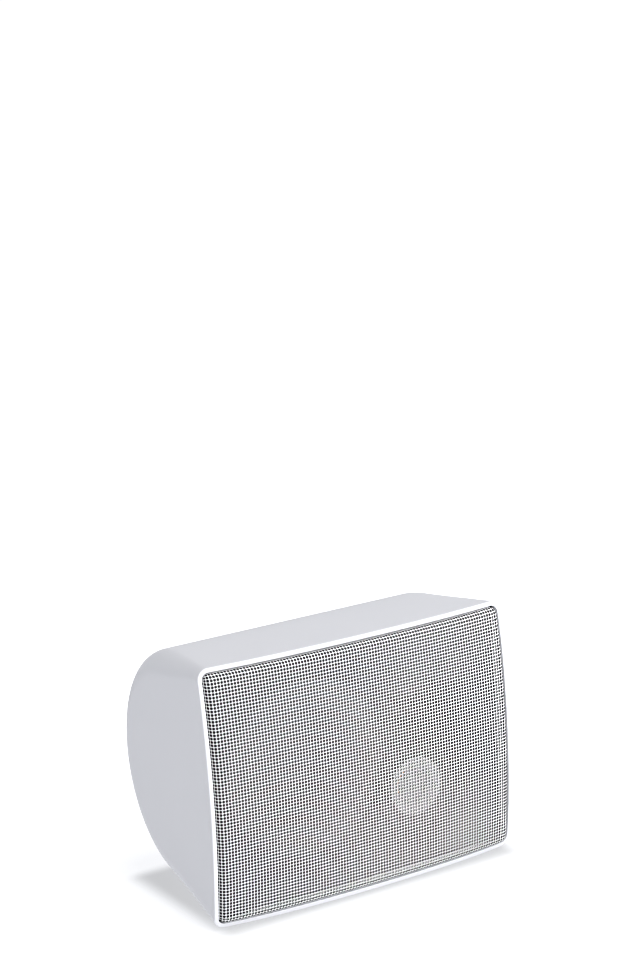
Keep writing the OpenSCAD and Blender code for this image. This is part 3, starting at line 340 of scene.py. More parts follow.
# Rear pad: a second white moulding, glued into the curved back, whose flat face lies against
# the wall bracket. Its edges are rounded, the terminal cup's flange lies in its recess, and the
# bosses of the two threaded inserts are moulded with it.
pad_size = (118.0, 60.0)
pad_t = 8.0
pad_corner_r = 8.0
flange_recess = (62.6, 50.6)
cup_hole = (49.6, 37.6)
cup_corner_r = 3.0
recess_depth = 3.0
recess_edge_r = 0.35
hidden_edge_r = 0.05
insert_r = 4.0
insert_len = 13.0
insert_boss_r = 8.0


def rounded_loop(size, r, steps=8):
    """Points of a rectangle with quarter-round corners, counter-clockwise from the right."""
    turn = np.linspace(0, np.pi / 2, steps)
    corners = []
    for k, (sx, sz) in enumerate([(1, 1), (-1, 1), (-1, -1), (1, -1)]):
        phi = turn + k * np.pi / 2
        corners.append(np.stack([sx * (size[0] / 2 - r) + r * np.cos(phi),
                                 sz * (size[1] / 2 - r) + r * np.sin(phi)], -1))
    return np.concatenate(corners)


def round_loop(x, z, r, steps=48):
    """Points of a circle about x, z."""
    phi = np.linspace(0, 2 * np.pi, steps, endpoint=False)
    return np.stack([x + r * np.cos(phi), z + r * np.sin(phi)], -1)


def cut_plate(loops, back, front, edge_r):
    """A plate between two Y planes: the first loop is its outline and the others are holes
    cut through it, and every edge is rounded by edge_r. Returns points in metres and faces."""
    curve = bpy.data.curves.new("cut_plate", "CURVE")
    curve.dimensions = "2D"
    curve.fill_mode = "BOTH"
    curve.extrude = (abs(back - front) / 2 - edge_r) * MM
    curve.bevel_depth = edge_r * MM
    curve.bevel_resolution = 3
    curve.offset = -edge_r * MM
    for loop in loops:
        spline = curve.splines.new("POLY")
        spline.points.add(len(loop) - 1)
        flat_points = np.zeros((len(loop), 4))
        flat_points[:, :2] = loop * MM
        flat_points[:, 3] = 1
        spline.points.foreach_set("co", flat_points.ravel())
        spline.use_cyclic_u = True
    holder = bpy.data.objects.new("cut_plate", curve)
    bpy.context.scene.collection.objects.link(holder)
    mesh = bpy.data.meshes.new_from_object(holder)
    points = np.zeros(len(mesh.vertices) * 3)
    mesh.vertices.foreach_get("co", points)
    points = points.reshape(-1, 3)
    faces = [tuple(p.vertices) for p in mesh.polygons]
    bpy.data.objects.remove(holder)
    bpy.data.curves.remove(curve)
    bpy.data.meshes.remove(mesh)
    stood = np.stack([points[:, 0], (back + front) / 2 * MM - points[:, 2], points[:, 1]], -1)
    return stood, faces


def joined(parts):
    """Several (points, faces) put into one, the faces' numbers moved along."""
    start = np.cumsum([0] + [len(p) for p, f in parts])
    faces = [[int(v) + int(start[k]) for v in f] for k, (p, fs) in enumerate(parts) for f in fs]
    return np.concatenate([p for p, f in parts]), faces


def turned_piece(profile, x, z, steps=64):
    """A closed section of [radius, Y] turned about the Y axis through x, z. Returns points in
    metres and the quads between its neighbours."""
    section = np.asarray(profile, float)
    phi = np.linspace(0, 2 * np.pi, steps, endpoint=False)
    grid = np.stack([x + section[:, None, 0] * np.cos(phi), np.repeat(section[:, 1:], steps, 1),
                     z + section[:, None, 0] * np.sin(phi)], -1)
    n = len(section)
    ids = np.arange(n * steps).reshape(n, steps)
    along = np.roll(ids, -1, axis=0)
    quads = np.stack([ids, along, np.roll(along, -1, axis=1), np.roll(ids, -1, axis=1)], -1)
    return grid.reshape(-1, 3) * MM, quads.reshape(-1, 4).tolist()


insert_holes = [round_loop(s * insert_spacing / 2, 0, insert_r) for s in (-1, 1)]
pad_outline = rounded_loop(pad_size, pad_corner_r)
pad_layers = [
    cut_plate([pad_outline, rounded_loop(flange_recess, cup_corner_r), *insert_holes],
              0.0, -recess_depth, recess_edge_r),
    cut_plate([pad_outline, rounded_loop(cup_hole, cup_corner_r), *insert_holes],
              -recess_depth, -pad_t, hidden_edge_r),
]
boss_sections = [
    turned_piece([[insert_r, -pad_t], [insert_boss_r, -pad_t], [insert_boss_r, -insert_len - wall],
                  [0.01, -insert_len - wall], [0.01, -insert_len], [insert_r, -insert_len]],
                 s * insert_spacing / 2, 0) for s in (-1, 1)]
pad_points, pad_faces = joined(pad_layers + boss_sections)
mounting_pad = piece_from("mounting_pad", pad_points, pad_faces, "cabinet", cabinet_plastic,
                          "cabinet_white")
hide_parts("rear_pad")

# Threaded inserts: turned brass bushes pressed into the pad's bosses, which take the two
# screws of a wall bracket. The thread is cut, with a small countersink at its mouth.
brass = finish("insert_brass", (0.72, 0.52, 0.22), (0.22, 0.38), 0.5, 0.004, tint=0.06, metal=1.0)
bore_r = 2.5
thread_pitch = 0.8
thread_depth = 0.3
mouth_chamfer = 0.5


def threaded_bush(x):
    """A bush whose bore is a helix: the radius swings by the cosine of the angle plus the depth
    over the pitch, faded out at the mouth. The outside is plain, and each ring is a row."""
    steps = 64
    phi = np.linspace(0, 2 * np.pi, steps, endpoint=False)[None, :]
    y = np.linspace(-mouth_chamfer, -insert_len + 0.2, 96)[:, None]
    swing = 0.5 + 0.5 * np.cos(2 * np.pi * y / thread_pitch + phi)
    bore = bore_r + thread_depth * swing * eased((-y - mouth_chamfer) / 1.2)
    outside_r = insert_r - 0.1
    ends_r = np.array([bore_r, outside_r, outside_r, bore_r + mouth_chamfer])[:, None]
    ends_y = np.array([-insert_len, -insert_len, -0.02, -0.02])[:, None]
    radii = np.concatenate([bore, np.repeat(ends_r, steps, 1)])
    depths = np.repeat(np.concatenate([y, ends_y]), steps, 1)
    grid = np.stack([x + radii * np.cos(phi), depths, radii * np.sin(phi)], -1)
    ids = np.arange(grid.shape[0] * steps).reshape(-1, steps)
    along = np.roll(ids, -1, axis=0)
    quads = np.stack([ids, along, np.roll(along, -1, axis=1), np.roll(ids, -1, axis=1)], -1)
    return grid.reshape(-1, 3) * MM, quads.reshape(-1, 4).tolist()


bush_points, bush_faces = joined([threaded_bush(s * insert_spacing / 2) for s in (-1, 1)])
inserts = piece_from("threaded_inserts", bush_points, bush_faces, "cabinet", brass, "brass")
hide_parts("wall_inserts")

# Grille: one sheet of steel punched with 106 by 80 round holes, pressed to the front's bow,
# rolled back all round and powder coated white. Its inside and the walls of its holes take a
# second, near-black finish that is painted shade, standing for the shade in the holes. It is
# modelled as two halves, to keep each mesh small.
grille_gap = 1.2
sheet_t = 0.8
roll_r = 5.0
corner_extra = 1.3
foot_d = 19.2
pitch = 2.5
hole_r = 1.06
columns = 106
hole_rows = 80
field_u = half_w - rim_w - grille_gap - roll_r - corner_extra
field_v = half_h - rim_w - grille_gap - roll_r - corner_extra
roll_end = corner_extra + roll_r * np.pi / 2


def sheet_point(u, v, inner):
    """Point of the sheet at the flat pattern's u, v: level with the bow in the field, then
    wound over the roll's radius about the field's edge, then straight back. inner is 1 on
    the sheet's inside face."""
    over_u = np.maximum(np.abs(u) - field_u, 0)
    over_v = np.maximum(np.abs(v) - field_v, 0)
    run = np.hypot(over_u, over_v)
    wound = np.maximum(run - corner_extra, 0)
    angle = np.minimum(wound / roll_r, np.pi / 2)
    radius = roll_r - inner * sheet_t
    reach = np.minimum(run, corner_extra) + radius * np.sin(angle)
    drop = roll_r - radius * np.cos(angle) + np.maximum(wound - roll_r * np.pi / 2, 0)
    safe = np.maximum(run, 1e-9)
    x = np.sign(u) * (np.minimum(np.abs(u), field_u) + reach * over_u / safe)
    z = np.sign(v) * (np.minimum(np.abs(v), field_v) + reach * over_v / safe)
    return np.stack([x, bow_fall(x, z) + drop, z], -1)


def grille_half(side):
    """The half of the tray on one side: square cells, each with an eight-sided hole through
    both faces, then the plain edge down to the foot, and a strip that closes the cut."""
    u = np.arange(columns // 2 + 1) * pitch
    v = (np.arange(hole_rows + 1) - hole_rows / 2) * pitch
    nu, nv = len(u), len(v)
    cu, cv = np.meshgrid((u[:-1] + u[1:]) / 2, (v[:-1] + v[1:]) / 2, indexing="ij")
    over = np.hypot(np.maximum(cu - field_u, 0), np.maximum(np.abs(cv) - field_v, 0))
    plain = (over > roll_end + 0.3).ravel()
    gu, gv = np.meshgrid(u, v, indexing="ij")
    phi = np.radians(22.5 + 45 * np.arange(8))
    hu = (cu[..., None] + hole_r * np.cos(phi)).reshape(-1, 8)[~plain]
    hv = (cv[..., None] + hole_r * np.sin(phi)).reshape(-1, 8)[~plain]
    lattice = [sheet_point(gu, gv, inner).reshape(-1, 3) for inner in (0, 1)]
    holes = [sheet_point(hu, hv, inner).reshape(-1, 3) for inner in (0, 1)]
    edge_i = np.concatenate([np.arange(nu), np.full(nv - 1, nu - 1), np.arange(nu - 2, -1, -1)])
    edge_j = np.concatenate([np.full(nu, nv - 1), np.arange(nv - 2, -1, -1), np.zeros(nu - 1, int)])
    edge = edge_i * nv + edge_j
    feet = [face[edge] * [1, 0, 1] + [0, foot_d, 0] for face in lattice]
    points = np.concatenate([*lattice, *holes, *feet])
    n, h, e = nu * nv, len(hu) * 8, len(edge)
    corner = (np.arange(nu - 1)[:, None] * nv + np.arange(nv - 1)[None, :]).ravel()
    c = np.stack([corner, corner + nv, corner + nv + 1, corner + 1], -1)
    flat_cells = c[plain]
    c = c[~plain]
    k = 2 * n + np.arange(len(c))[:, None] * 8 + np.arange(8)[None, :]
    sides = np.concatenate([
        np.stack([c[:, 1], c[:, 2], k[:, 0], k[:, 7]], -1),
        np.stack([c[:, 2], c[:, 3], k[:, 2], k[:, 1]], -1),
        np.stack([c[:, 3], c[:, 0], k[:, 4], k[:, 3]], -1),
        np.stack([c[:, 0], c[:, 1], k[:, 6], k[:, 5]], -1)])
    tips = np.concatenate([
        np.stack([c[:, 2], k[:, 1], k[:, 0]], -1),
        np.stack([c[:, 3], k[:, 3], k[:, 2]], -1),
        np.stack([c[:, 0], k[:, 5], k[:, 4]], -1),
        np.stack([c[:, 1], k[:, 7], k[:, 6]], -1)])

    def inside(faces):
        """The same faces on the sheet's inside, turned round."""
        return (faces + np.where(faces < n, n, h))[:, ::-1]

    after = np.roll(k, -1, axis=1)
    walls = np.stack([k, after, after + h, k + h], -1).reshape(-1, 4)
    p, q = edge[:-1], edge[1:]
    fp = 2 * n + 2 * h + np.arange(e - 1)
    fq = fp + 1
    skirt = np.stack([p, q, fq, fp], -1)
    skirt_in = np.stack([q + n, p + n, fp + e, fq + e], -1)
    foot = np.stack([fp, fq, fq + e, fp + e], -1)
    m = np.arange(nv - 1)
    cut = np.stack([m, m + 1, m + 1 + n, m + n], -1)
    first, last = 2 * n + 2 * h, 2 * n + 2 * h + e - 1
    ends = np.array([[nv - 1, first, first + e, nv - 1 + n], [last, 0, n, last + e]])
    quads = np.concatenate([sides, inside(sides), flat_cells, inside(flat_cells), walls,
                            skirt, skirt_in, foot, cut, ends])
    faces = quads.tolist() + np.concatenate([tips, inside(tips)]).tolist()
    # The sheet's inside faces and the hole walls take the second finish, a painted shade.
    painted_shade = np.zeros(len(faces), int)
    at = len(sides)
    painted_shade[at:2 * at] = 1
    at = 2 * len(sides) + len(flat_cells)
    painted_shade[at:at + len(flat_cells) + len(walls)] = 1
    painted_shade[len(quads) + len(tips):] = 1
    return in_frame(points * [side, 1, 1]), faces, painted_shade


grille_coat = finish("grille_powder_coat", (0.72, 0.72, 0.722), (0.38, 0.5), 0.35, 0.006, tint=0.01)
# Painted shade: a near-black finish for the hole walls and the sheet's inside.
grille_painted_shade = finish("grille_painted_shade", (0.01, 0.01, 0.011), (0.8, 0.95), 0.4, 0.02, tint=0.2,
                     specular=0.05)
for half_name, half_side in (("grille_right", 1), ("grille_left", -1)):
    half_points, half_faces, painted_shade_faces = grille_half(half_side)
    half = piece_from(half_name, half_points, half_faces, "cabinet", grille_coat, "grille_white",
                      second=grille_painted_shade, painted=painted_shade_faces)
    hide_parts("grille")


def coated(node, material):
    """A CAD node whose shape is right keeps its mesh and takes a better material."""
    mesh = nodes[node].data
    mesh.materials.clear()
    mesh.materials.append(material)


# Baffle: a black moulded board with a matt grain, dropped onto the cabinet's ledge. The
# drivers and the crossover are screwed to it, and six black screws hold it down.
baffle_plastic = finish("baffle_plastic", (0.01, 0.01, 0.011), (0.65, 0.85), 0.8, 0.03,
                        tint=0.15, specular=0.25)
black_zinc = finish("black_zinc", (0.045, 0.045, 0.05), (0.28, 0.42), 0.3, 0.004, tint=0.1,
                    metal=1.0)
coated("baffle", baffle_plastic)
screw_pitch = 1.1
towards_back = 1
towards_front = -1


def cross_screw(x, z, top, tip, shank_r, head_r, head_t, countersunk):
    """One cross-headed screw as a closed skin round its axis, from the head's middle to the
    tip: a domed or flat top with a cross sunk into it, the head's edge or cone, a thread whose
    radius is a triangle wave of depth over the pitch plus the angle, and a pointed end."""
    steps = 40
    phi = np.linspace(0, 2 * np.pi, steps, endpoint=False)[None, :]
    way = np.sign(tip - top)
    r = np.linspace(0, 0.86 * head_r, 15)[:, None]
    off = np.minimum(np.abs(r * np.cos(phi)), np.abs(r * np.sin(phi)))
    arm = 1 - eased((off - 0.1 * head_r) / (0.09 * head_r))
    arm = arm * (1 - eased((r / head_r - 0.55) / 0.12))
    swell = 0.0 if countersunk else 0.3 * head_t
    head_top = swell * (r / head_r) ** 2 + 0.55 * head_t * arm
    if countersunk:
        edge = [[head_r, 0.0], [head_r, 0.06], [shank_r, head_t]]
    else:
        edge = [[0.95 * head_r, 0.34 * head_t], [head_r, 0.5 * head_t], [head_r, head_t],
                [shank_r, head_t]]
    edge_r, edge_a = np.array(edge).T
    length = abs(tip - top)
    a = np.linspace(head_t + 0.3, length - 1.4 * shank_r, 44)[:, None]
    share = (a / screw_pitch + phi / (2 * np.pi)) % 1.0
    thread = shank_r * (0.76 + 0.24 * np.abs(2 * share - 1))
    tip_r = shank_r * np.array([0.72, 0.4, 0.0])
    tip_a = length - shank_r * np.array([1.2, 0.6, 0.0])
    radii = np.concatenate([np.repeat(r, steps, 1), np.repeat(edge_r[:, None], steps, 1), thread,
                            np.repeat(tip_r[:, None], steps, 1)])
    along = np.concatenate([head_top, np.repeat(edge_a[:, None], steps, 1), np.repeat(a, steps, 1),
                            np.repeat(tip_a[:, None], steps, 1)])
    grid = np.stack([x + radii * np.cos(phi), top + way * along, z + radii * np.sin(phi)], -1)
    ids = np.arange(grid.shape[0] * steps).reshape(-1, steps)
    near, far = ids[:-1], ids[1:]
    quads = np.stack([near, far, np.roll(far, -1, axis=1), np.roll(near, -1, axis=1)], -1)
    return grid.reshape(-1, 3) * MM, quads.reshape(-1, 4).tolist()


def cross_screws(node, way, shank_r, head_r, head_t, material, slot, countersunk=False):
    """Screws in place of a CAD node: their axes are where the node's solids come to a point,
    the furthest in the way that they are driven, and their heads are at the other end."""
    mesh = nodes[node].data
    flat = np.zeros(len(mesh.vertices) * 3)
    mesh.vertices.foreach_get("co", flat)
    places = flat.reshape(-1, 3) / MM
    tip = way * np.max(way * places[:, 1])
    top = way * np.min(way * places[:, 1])
    ends = np.unique(np.round(places[np.abs(places[:, 1] - tip) < 0.01][:, [0, 2]], 2), axis=0)
    screws = [cross_screw(x, z, top, tip, shank_r, head_r, head_t, countersunk) for x, z in ends]
    piece = piece_from(f"{node}_cross", *joined(screws), "cabinet", material, slot, sharp_deg=30)
    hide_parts(node)


large_screw = {"shank_r": 1.6, "head_r": 3.6, "head_t": 2.2}
cross_screws("baffle_screws", towards_back, **large_screw, material=black_zinc, slot="black_steel")

# Woofer frame: deep-drawn steel, black powder coat, screwed down over a foam ring. The
# fibre-board strip on its side carries the two soldering tags.
frame_coat = finish("frame_powder_coat", (0.016, 0.016, 0.017), (0.4, 0.6), 0.5, 0.02, tint=0.12)
foam = finish("gasket_foam", (0.02, 0.02, 0.022), (0.85, 0.98), 0.7, 0.12, tint=0.25)
fibre_board = finish("fibre_board", (0.21, 0.11, 0.045), (0.5, 0.7), 0.6, 0.02, tint=0.2,
                     stretch=(1, 1, 6))
coated("woofer_basket", frame_coat)
coated("woofer_gasket", foam)
cross_screws("woofer_screws", towards_back, **large_screw, material=black_zinc, slot="black_steel")
coated("woofer_terminal", fibre_board)

# Motors of both drivers: zinc-plated steel plates and yokes, turned on a lathe, and sintered
# magnets with a dull, slightly pitted skin, glued in a stack behind the frames.
woofer_axis = (-45.0, 4.2)
tweeter_axis = (50.0, -32.8)


def ridged(material, direction, pitch_mm, relief_mm, axis=(0.0, 0.0)):
    """Adds fine ridges to a finish: a sine wave of the pitch along X, Y or Z, or in rings
    round the Y axis through the axis point, lifts a second bump over the first."""
    tree = material.node_tree
    shader = tree.nodes["Principled BSDF"]
    moved = tree.nodes.new("ShaderNodeMapping")
    moved.inputs["Location"].default_value = (-axis[0] * MM, 0, -axis[1] * MM)
    wave = tree.nodes.new("ShaderNodeTexWave")
    if direction == "RINGS":
        wave.wave_type = "RINGS"
        wave.rings_direction = "Y"
    else:
        wave.bands_direction = direction
    wave.inputs["Scale"].default_value = 0.1 * np.pi / (pitch_mm * MM)
    lift = tree.nodes.new("ShaderNodeBump")
    lift.inputs["Distance"].default_value = relief_mm * MM
    tree.links.new(tree.nodes["Texture Coordinate"].outputs["Object"], moved.inputs["Vector"])
    tree.links.new(moved.outputs["Vector"], wave.inputs["Vector"])
    tree.links.new(wave.outputs["Fac"], lift.inputs["Height"])
    tree.links.new(shader.inputs["Normal"].links[0].from_socket, lift.inputs["Normal"])
    tree.links.new(lift.outputs["Normal"], shader.inputs["Normal"])
    return material


ferrite = finish("sintered_ferrite", (0.03, 0.03, 0.032), (0.5, 0.8), 0.9, 0.05, tint=0.3)
for driver, axis in (("woofer", woofer_axis), ("tweeter", tweeter_axis)):
    zinc = finish(f"{driver}_zinc", (0.62, 0.63, 0.65), (0.22, 0.4), 1.5, 0.006, tint=0.06,
                  metal=1.0)
    ridged(zinc, "RINGS", 0.4, 0.006, axis)
    coated(f"{driver}_top_plate", zinc)
    coated(f"{driver}_yoke", zinc)
    coated(f"{driver}_magnet", ferrite)

# Moving parts of the woofer: a pressed paper cone and dust cap with long fibres, and a coil of
# enamelled copper wound on its former.
coil_pitch = 0.28
cone_paper = finish("cone_paper", (0.022, 0.022, 0.024), (0.7, 0.9), 0.7, 0.06, tint=0.35,
                    stretch=(1, 1, 0.4))
copper = finish("copper_winding", (0.72, 0.33, 0.14), (0.25, 0.4), 0.5, 0.004, tint=0.12,
                metal=1.0)
ridged(copper, "Y", coil_pitch, 0.06)
coated("woofer_cone", ridged(cone_paper, "RINGS", 4.0, 0.05, woofer_axis))
coated("woofer_dust_cap", cone_paper)
coated("voice_coil", copper)

# Surround and spider: a moulded rubber half roll round the cone, and a corrugated disc of
# resin-dipped cotton behind it. Both stay with the frame at their outer edge.
thread_mm = 0.6
rubber = finish("surround_rubber", (0.014, 0.014, 0.015), (0.5, 0.62), 0.4, 0.01, tint=0.15)
spider_cotton = finish("spider_cotton", (0.42, 0.25, 0.08), (0.7, 0.9), 0.5, 0.03, tint=0.2)
for along in "XZ":
    ridged(spider_cotton, along, thread_mm, 0.08)
coated("woofer_surround", rubber)
coated("woofer_spider", spider_cotton)

# Tweeter: a black plate moulded in one, its shallow horn sprayed silver, with a small metal
# dome on a soft cloth surround, held by four black screws.
horn_mouth_r = 23.0
spray_edge = 0.4
dome_thread_mm = 0.35
plate_black = (0.012, 0.012, 0.013, 1)
silver_plastic = finish("silver_plastic", (0.3, 0.305, 0.315), (0.5, 0.62), 0.5, 0.006, tint=0.03)
dome_film = finish("dome_film", (0.3, 0.3, 0.31), (0.4, 0.5), 0.6, 0.004, tint=0.03, metal=0.6)
dome_cloth = finish("dome_cloth", (0.2, 0.2, 0.21), (0.75, 0.95), 0.35, 0.05, tint=0.12)
bright_zinc = finish("bright_zinc", (0.66, 0.67, 0.7), (0.18, 0.3), 0.4, 0.004, tint=0.05,
                     metal=1.0)


def masked(material, mask, colour):
    """Adds a second colour to a finish: a mix of the two by the mask, from 0 to 1."""
    tree = material.node_tree
    base = tree.nodes["Principled BSDF"].inputs["Base Color"]
    first = base.links[0].from_socket
    mix = tree.nodes.new("ShaderNodeMix")
    mix.data_type = "RGBA"
    mix.inputs["B"].default_value = colour
    tree.links.new(mask, mix.inputs["Factor"])
    tree.links.new(first, mix.inputs["A"])
    tree.links.new(mix.outputs["Result"], base)


horn_tree = silver_plastic.node_tree
horn_place = horn_tree.nodes.new("ShaderNodeMapping")
horn_place.inputs["Location"].default_value = (-tweeter_axis[0] * MM, 0, -tweeter_axis[1] * MM)
horn_place.inputs["Scale"].default_value = (1, 0, 1)
horn_reach = horn_tree.nodes.new("ShaderNodeVectorMath")
horn_reach.operation = "LENGTH"
horn_at = horn_tree.nodes["Texture Coordinate"].outputs["Object"]
horn_tree.links.new(horn_at, horn_place.inputs["Vector"])
horn_tree.links.new(horn_place.outputs["Vector"], horn_reach.inputs[0])
horn_edge = ramp(horn_tree, horn_reach.outputs["Value"], (horn_mouth_r - spray_edge) * MM,
                 horn_mouth_r * MM, 0.0, 1.0)
masked(silver_plastic, horn_edge.outputs["Result"], plate_black)
coated("tweeter_faceplate", silver_plastic)
coated("tweeter_dome", dome_film)
for along in "XZ":
    ridged(dome_cloth, along, dome_thread_mm, 0.04)
coated("tweeter_surround", dome_cloth)
coated("tweeter_coil", copper)
cross_screws("tweeter_screws", towards_back, 1.25, 3.25, 2.2, black_zinc, "zinc_steel")

# Crossover: a green board on four posts behind the baffle, its copper tracks raised under the
# solder mask, with an air-core coil, two film capacitors and a ceramic resistor soldered on.
track_mm = 9.0
track_relief = 0.05
track_green = (0.07, 0.3, 0.09, 1)
board_green = finish("board_green", (0.02, 0.16, 0.06), (0.25, 0.45), 1.2, 0.004, tint=0.1,
                     coat=0.3)
board_tree = board_green.node_tree
board_turn = board_tree.nodes.new("ShaderNodeMapping")
board_turn.inputs["Rotation"].default_value = (np.radians(90), 0, 0)
tracks = board_tree.nodes.new("ShaderNodeTexBrick")
tracks.inputs["Scale"].default_value = 1 / (track_mm * MM)
tracks.inputs["Mortar Size"].default_value = 0.06
tracks.inputs["Mortar Smooth"].default_value = 0.1
board_lift = board_tree.nodes.new("ShaderNodeBump")
board_lift.inputs["Distance"].default_value = track_relief * MM
board_at = board_tree.nodes["Texture Coordinate"].outputs["Object"]
board_tree.links.new(board_at, board_turn.inputs["Vector"])
board_tree.links.new(board_turn.outputs["Vector"], tracks.inputs["Vector"])
masked(board_green, tracks.outputs["Fac"], track_green)
board_tree.links.new(tracks.outputs["Fac"], board_lift.inputs["Height"])
board_tree.links.new(board_lift.outputs["Normal"],
                     board_tree.nodes["Principled BSDF"].inputs["Normal"])
capacitor_film = finish("capacitor_film", (0.03, 0.08, 0.22), (0.25, 0.4), 0.8, 0.01, tint=0.1)
ceramic = finish("ceramic", (0.78, 0.75, 0.68), (0.6, 0.85), 0.5, 0.05, tint=0.06)
coated("crossover_board", board_green)
coated("crossover_inductor", copper)
coated("crossover_capacitors", capacitor_film)
coated("crossover_resistor", ceramic)
cross_screws("board_screws", towards_front, 1.25, 2.85, 2.2, bright_zinc, "zinc_steel")

# Wiring: stranded wire in plastic insulation, from the terminals to the board and from the
# board to the two drivers.
wire_red = finish("wire_red", (0.42, 0.05, 0.04), (0.35, 0.5), 0.4, 0.01, tint=0.08)
wire_blue = finish("wire_blue", (0.05, 0.12, 0.36), (0.35, 0.5), 0.4, 0.01, tint=0.08)
wire_grey = finish("wire_grey", (0.5, 0.5, 0.52), (0.35, 0.5), 0.4, 0.01, tint=0.08)
coated("input_wires", wire_red)
coated("woofer_wires", wire_blue)
coated("tweeter_wires", wire_grey)

# Terminal cup: a black moulded box let into the pad on a foam gasket and held by four
# countersunk screws, with two sprung push terminals on its floor.
cup_plastic = finish("cup_plastic", (0.014, 0.014, 0.015), (0.35, 0.5), 0.5, 0.012, tint=0.12)
contact_brass = finish("contact_brass", (0.75, 0.6, 0.3), (0.2, 0.35), 0.6, 0.005, tint=0.06,
                       metal=1.0)
coated("terminal_cup", cup_plastic)
coated("terminal_block", cup_plastic)
coated("terminal_gasket", foam)
cross_screws("terminal_screws", towards_front, 1.25, 2.55, 1.3, black_zinc, "black_steel",
             countersunk=True)
coated("terminal_contacts", contact_brass)

# Push levers: glossy red and black plastic, each turning on a steel pin and pressing its
# contact open when its ribbed end is pushed in.
lever_red = finish("lever_red", (0.52, 0.018, 0.022), (0.25, 0.38), 0.5, 0.006, tint=0.06)
lever_black = finish("lever_black", (0.02, 0.02, 0.022), (0.25, 0.38), 0.5, 0.006, tint=0.1)
coated("terminal_lever_red", lever_red)
coated("terminal_lever_black", lever_black)
coated("lever_pins", bright_zinc)

# The set: a wide table of white paper that glows, a little more far out, with its glow turned
# down under the speaker as a painted contact shadow; the speaker stands on its front's lower
# edge, and a surround is brightest low down.
floor_gap = 0.0002
floor_z = float(cad_low.z) - floor_gap
floor_half = 30.0
# Painted contact shadow: the paper glows less inside a box round the speaker's footprint, rising to
# the full glow over a short reach outside it.
shadow_middle = (0, -0.1, 0)
shadow_half = (0.12, 0.065, 1.0)
shadow_core_glow = 0.52
near_glow = 0.9
shadow_reach = 0.02
far_glow = 0.16
far_reach = (0.3, 2.0)
floor_mesh = bpy.data.meshes.new("table_top")
floor_mesh.from_pydata([(-floor_half, -floor_half, floor_z), (floor_half, -floor_half, floor_z),
                        (floor_half, floor_half, floor_z), (-floor_half, floor_half, floor_z)],
                       [], [(0, 1, 2, 3)])
table_top = bpy.data.objects.new("table_top", floor_mesh)
bpy.context.scene.collection.objects.link(table_top)
paper = bpy.data.materials.new("white_paper")
paper.use_nodes = True
paper_tree = paper.node_tree
paper_shader = paper_tree.nodes["Principled BSDF"]
paper_shader.inputs["Base Color"].default_value = (0.25, 0.25, 0.25, 1)
paper_shader.inputs["Roughness"].default_value = 0.9
paper_shader.inputs["Specular IOR Level"].default_value = 0.0
paper_shader.inputs["Emission Color"].default_value = (0.965, 0.975, 1.0, 1)
paper_place = paper_tree.nodes.new("ShaderNodeTexCoord")
beside = paper_place.outputs["Object"]
for operation, amount in (("SUBTRACT", shadow_middle), ("ABSOLUTE", None),
                          ("SUBTRACT", shadow_half), ("MAXIMUM", (0, 0, 0)), ("LENGTH", None)):
    step = paper_tree.nodes.new("ShaderNodeVectorMath")
    step.operation = operation
    paper_tree.links.new(beside, step.inputs[0])
    if amount is not None:
        step.inputs[1].default_value = amount
    beside = step.outputs["Value" if operation == "LENGTH" else "Vector"]
# The paper's glow with the painted contact shadow: lowest inside the box, full a short reach
# outside it, and more again far out.
paper_glow = ramp(paper_tree, beside, 0.0, shadow_reach, shadow_core_glow, near_glow)
paper_glow.interpolation_type = "SMOOTHSTEP"
paper_far = ramp(paper_tree, beside, *far_reach, 0.0, far_glow)
paper_sum = paper_tree.nodes.new("ShaderNodeMath")
paper_tree.links.new(paper_glow.outputs["Result"], paper_sum.inputs[0])
paper_tree.links.new(paper_far.outputs["Result"], paper_sum.inputs[1])
paper_tree.links.new(paper_sum.outputs["Value"], paper_shader.inputs["Emission Strength"])
floor_mesh.materials.append(paper)

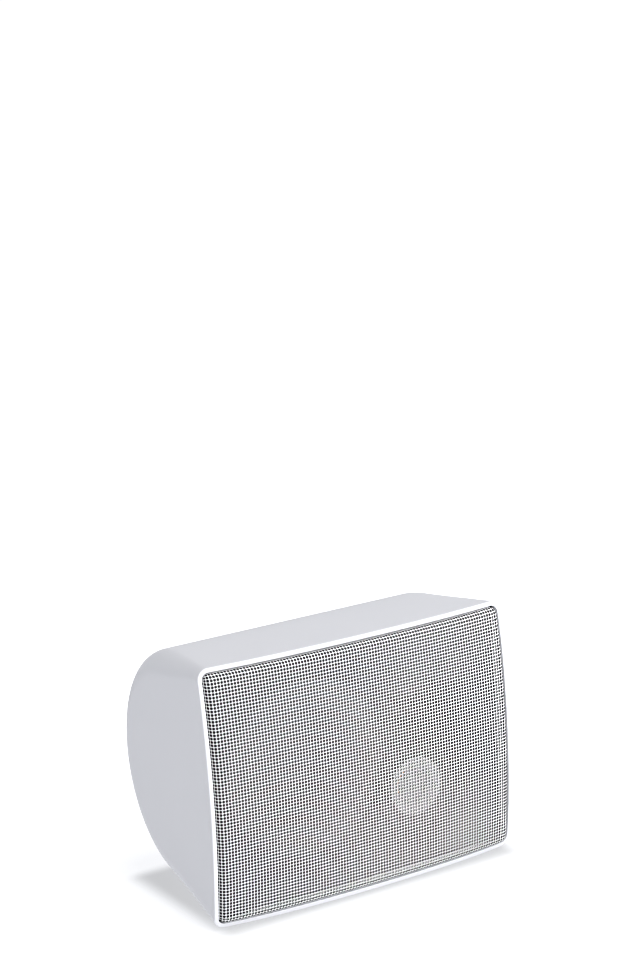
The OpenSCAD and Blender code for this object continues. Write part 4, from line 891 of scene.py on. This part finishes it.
sky_front = 0.2
sky_back = 0.02
sky_low = (0.12, 0.22)
world = bpy.data.worlds.new("white_surround")
bpy.context.scene.world = world
world.use_nodes = True
sky_tree = world.node_tree
sky = sky_tree.nodes["Background"]
sky.inputs["Color"].default_value = (0.93, 0.95, 1.0, 1)
sky_place = sky_tree.nodes.new("ShaderNodeTexCoord")
sky_split = sky_tree.nodes.new("ShaderNodeSeparateXYZ")
sky_tree.links.new(sky_place.outputs["Generated"], sky_split.inputs["Vector"])
sky_fade = ramp(sky_tree, sky_split.outputs["Y"], -1.0, 1.0, sky_front, sky_back)
sky_band = ramp(sky_tree, sky_split.outputs["Z"], *sky_low, 1.0, 0.0)
sky_most = sky_tree.nodes.new("ShaderNodeMath")
sky_most.operation = "MAXIMUM"
sky_tree.links.new(sky_fade.outputs["Result"], sky_most.inputs[0])
sky_tree.links.new(sky_band.outputs["Result"], sky_most.inputs[1])
sky_tree.links.new(sky_most.outputs["Value"], sky.inputs["Strength"])

# The studio's lights: two large softboxes at the front right, one overhead that lights the
# cabinet's top, and a weak one at the left that lifts its side.
speaker_middle = (0.0, -0.09, 0.0)


def softbox(name, place, aim, size, watts):
    """A square area light at a place, turned so that it shines at a point."""
    light = bpy.data.lights.new(name, "AREA")
    light.size = size
    light.energy = watts
    lamp = bpy.data.objects.new(name, light)
    bpy.context.scene.collection.objects.link(lamp)
    lamp.location = place
    lamp.rotation_mode = "QUATERNION"
    lamp.rotation_quaternion = (Vector(aim) - Vector(place)).to_track_quat("-Z", "Y")


softbox("key_softbox", (1.3, -2.4, 1.5), speaker_middle, 1.2, 24.0)
softbox("front_softbox", (1.3, -2.6, 0.2), speaker_middle, 1.2, 57.0)
softbox("top_softbox", (0.2, -0.6, 2.8), speaker_middle, 1.2, 63.0)
softbox("side_softbox", (-2.0, -1.6, 0.1), speaker_middle, 1.0, 6.0)

# The camera: a long lens at the front left and a little above, at the photograph's angle. Its
# place and its two directions were fitted to the rim's corners and the left side's outline.
camera_place = (-0.9785, -1.7486, 0.6636)
camera_right = Vector((0.848, -0.527, -0.056)).normalized()
camera_look = Vector((0.502, 0.833, -0.233)).normalized()
camera_data = bpy.data.cameras.new("photo_camera")
camera_data.lens = 99.0
camera_data.sensor_width = 36.0
camera_data.clip_start = 0.05
camera_data.clip_end = 100.0
camera = bpy.data.objects.new("photo_camera", camera_data)
bpy.context.scene.collection.objects.link(camera)
camera_up = camera_right.cross(camera_look).normalized()
camera_right = camera_look.cross(camera_up)
turned = Matrix((camera_right, camera_up, -camera_look)).transposed()
camera.matrix_world = Matrix.Translation(camera_place) @ turned.to_4x4()
bpy.context.scene.camera = camera
bpy.context.scene.view_settings.view_transform = "Standard"
bpy.context.scene.view_settings.look = "None"
bpy.context.scene.cycles.filter_width = 0.9
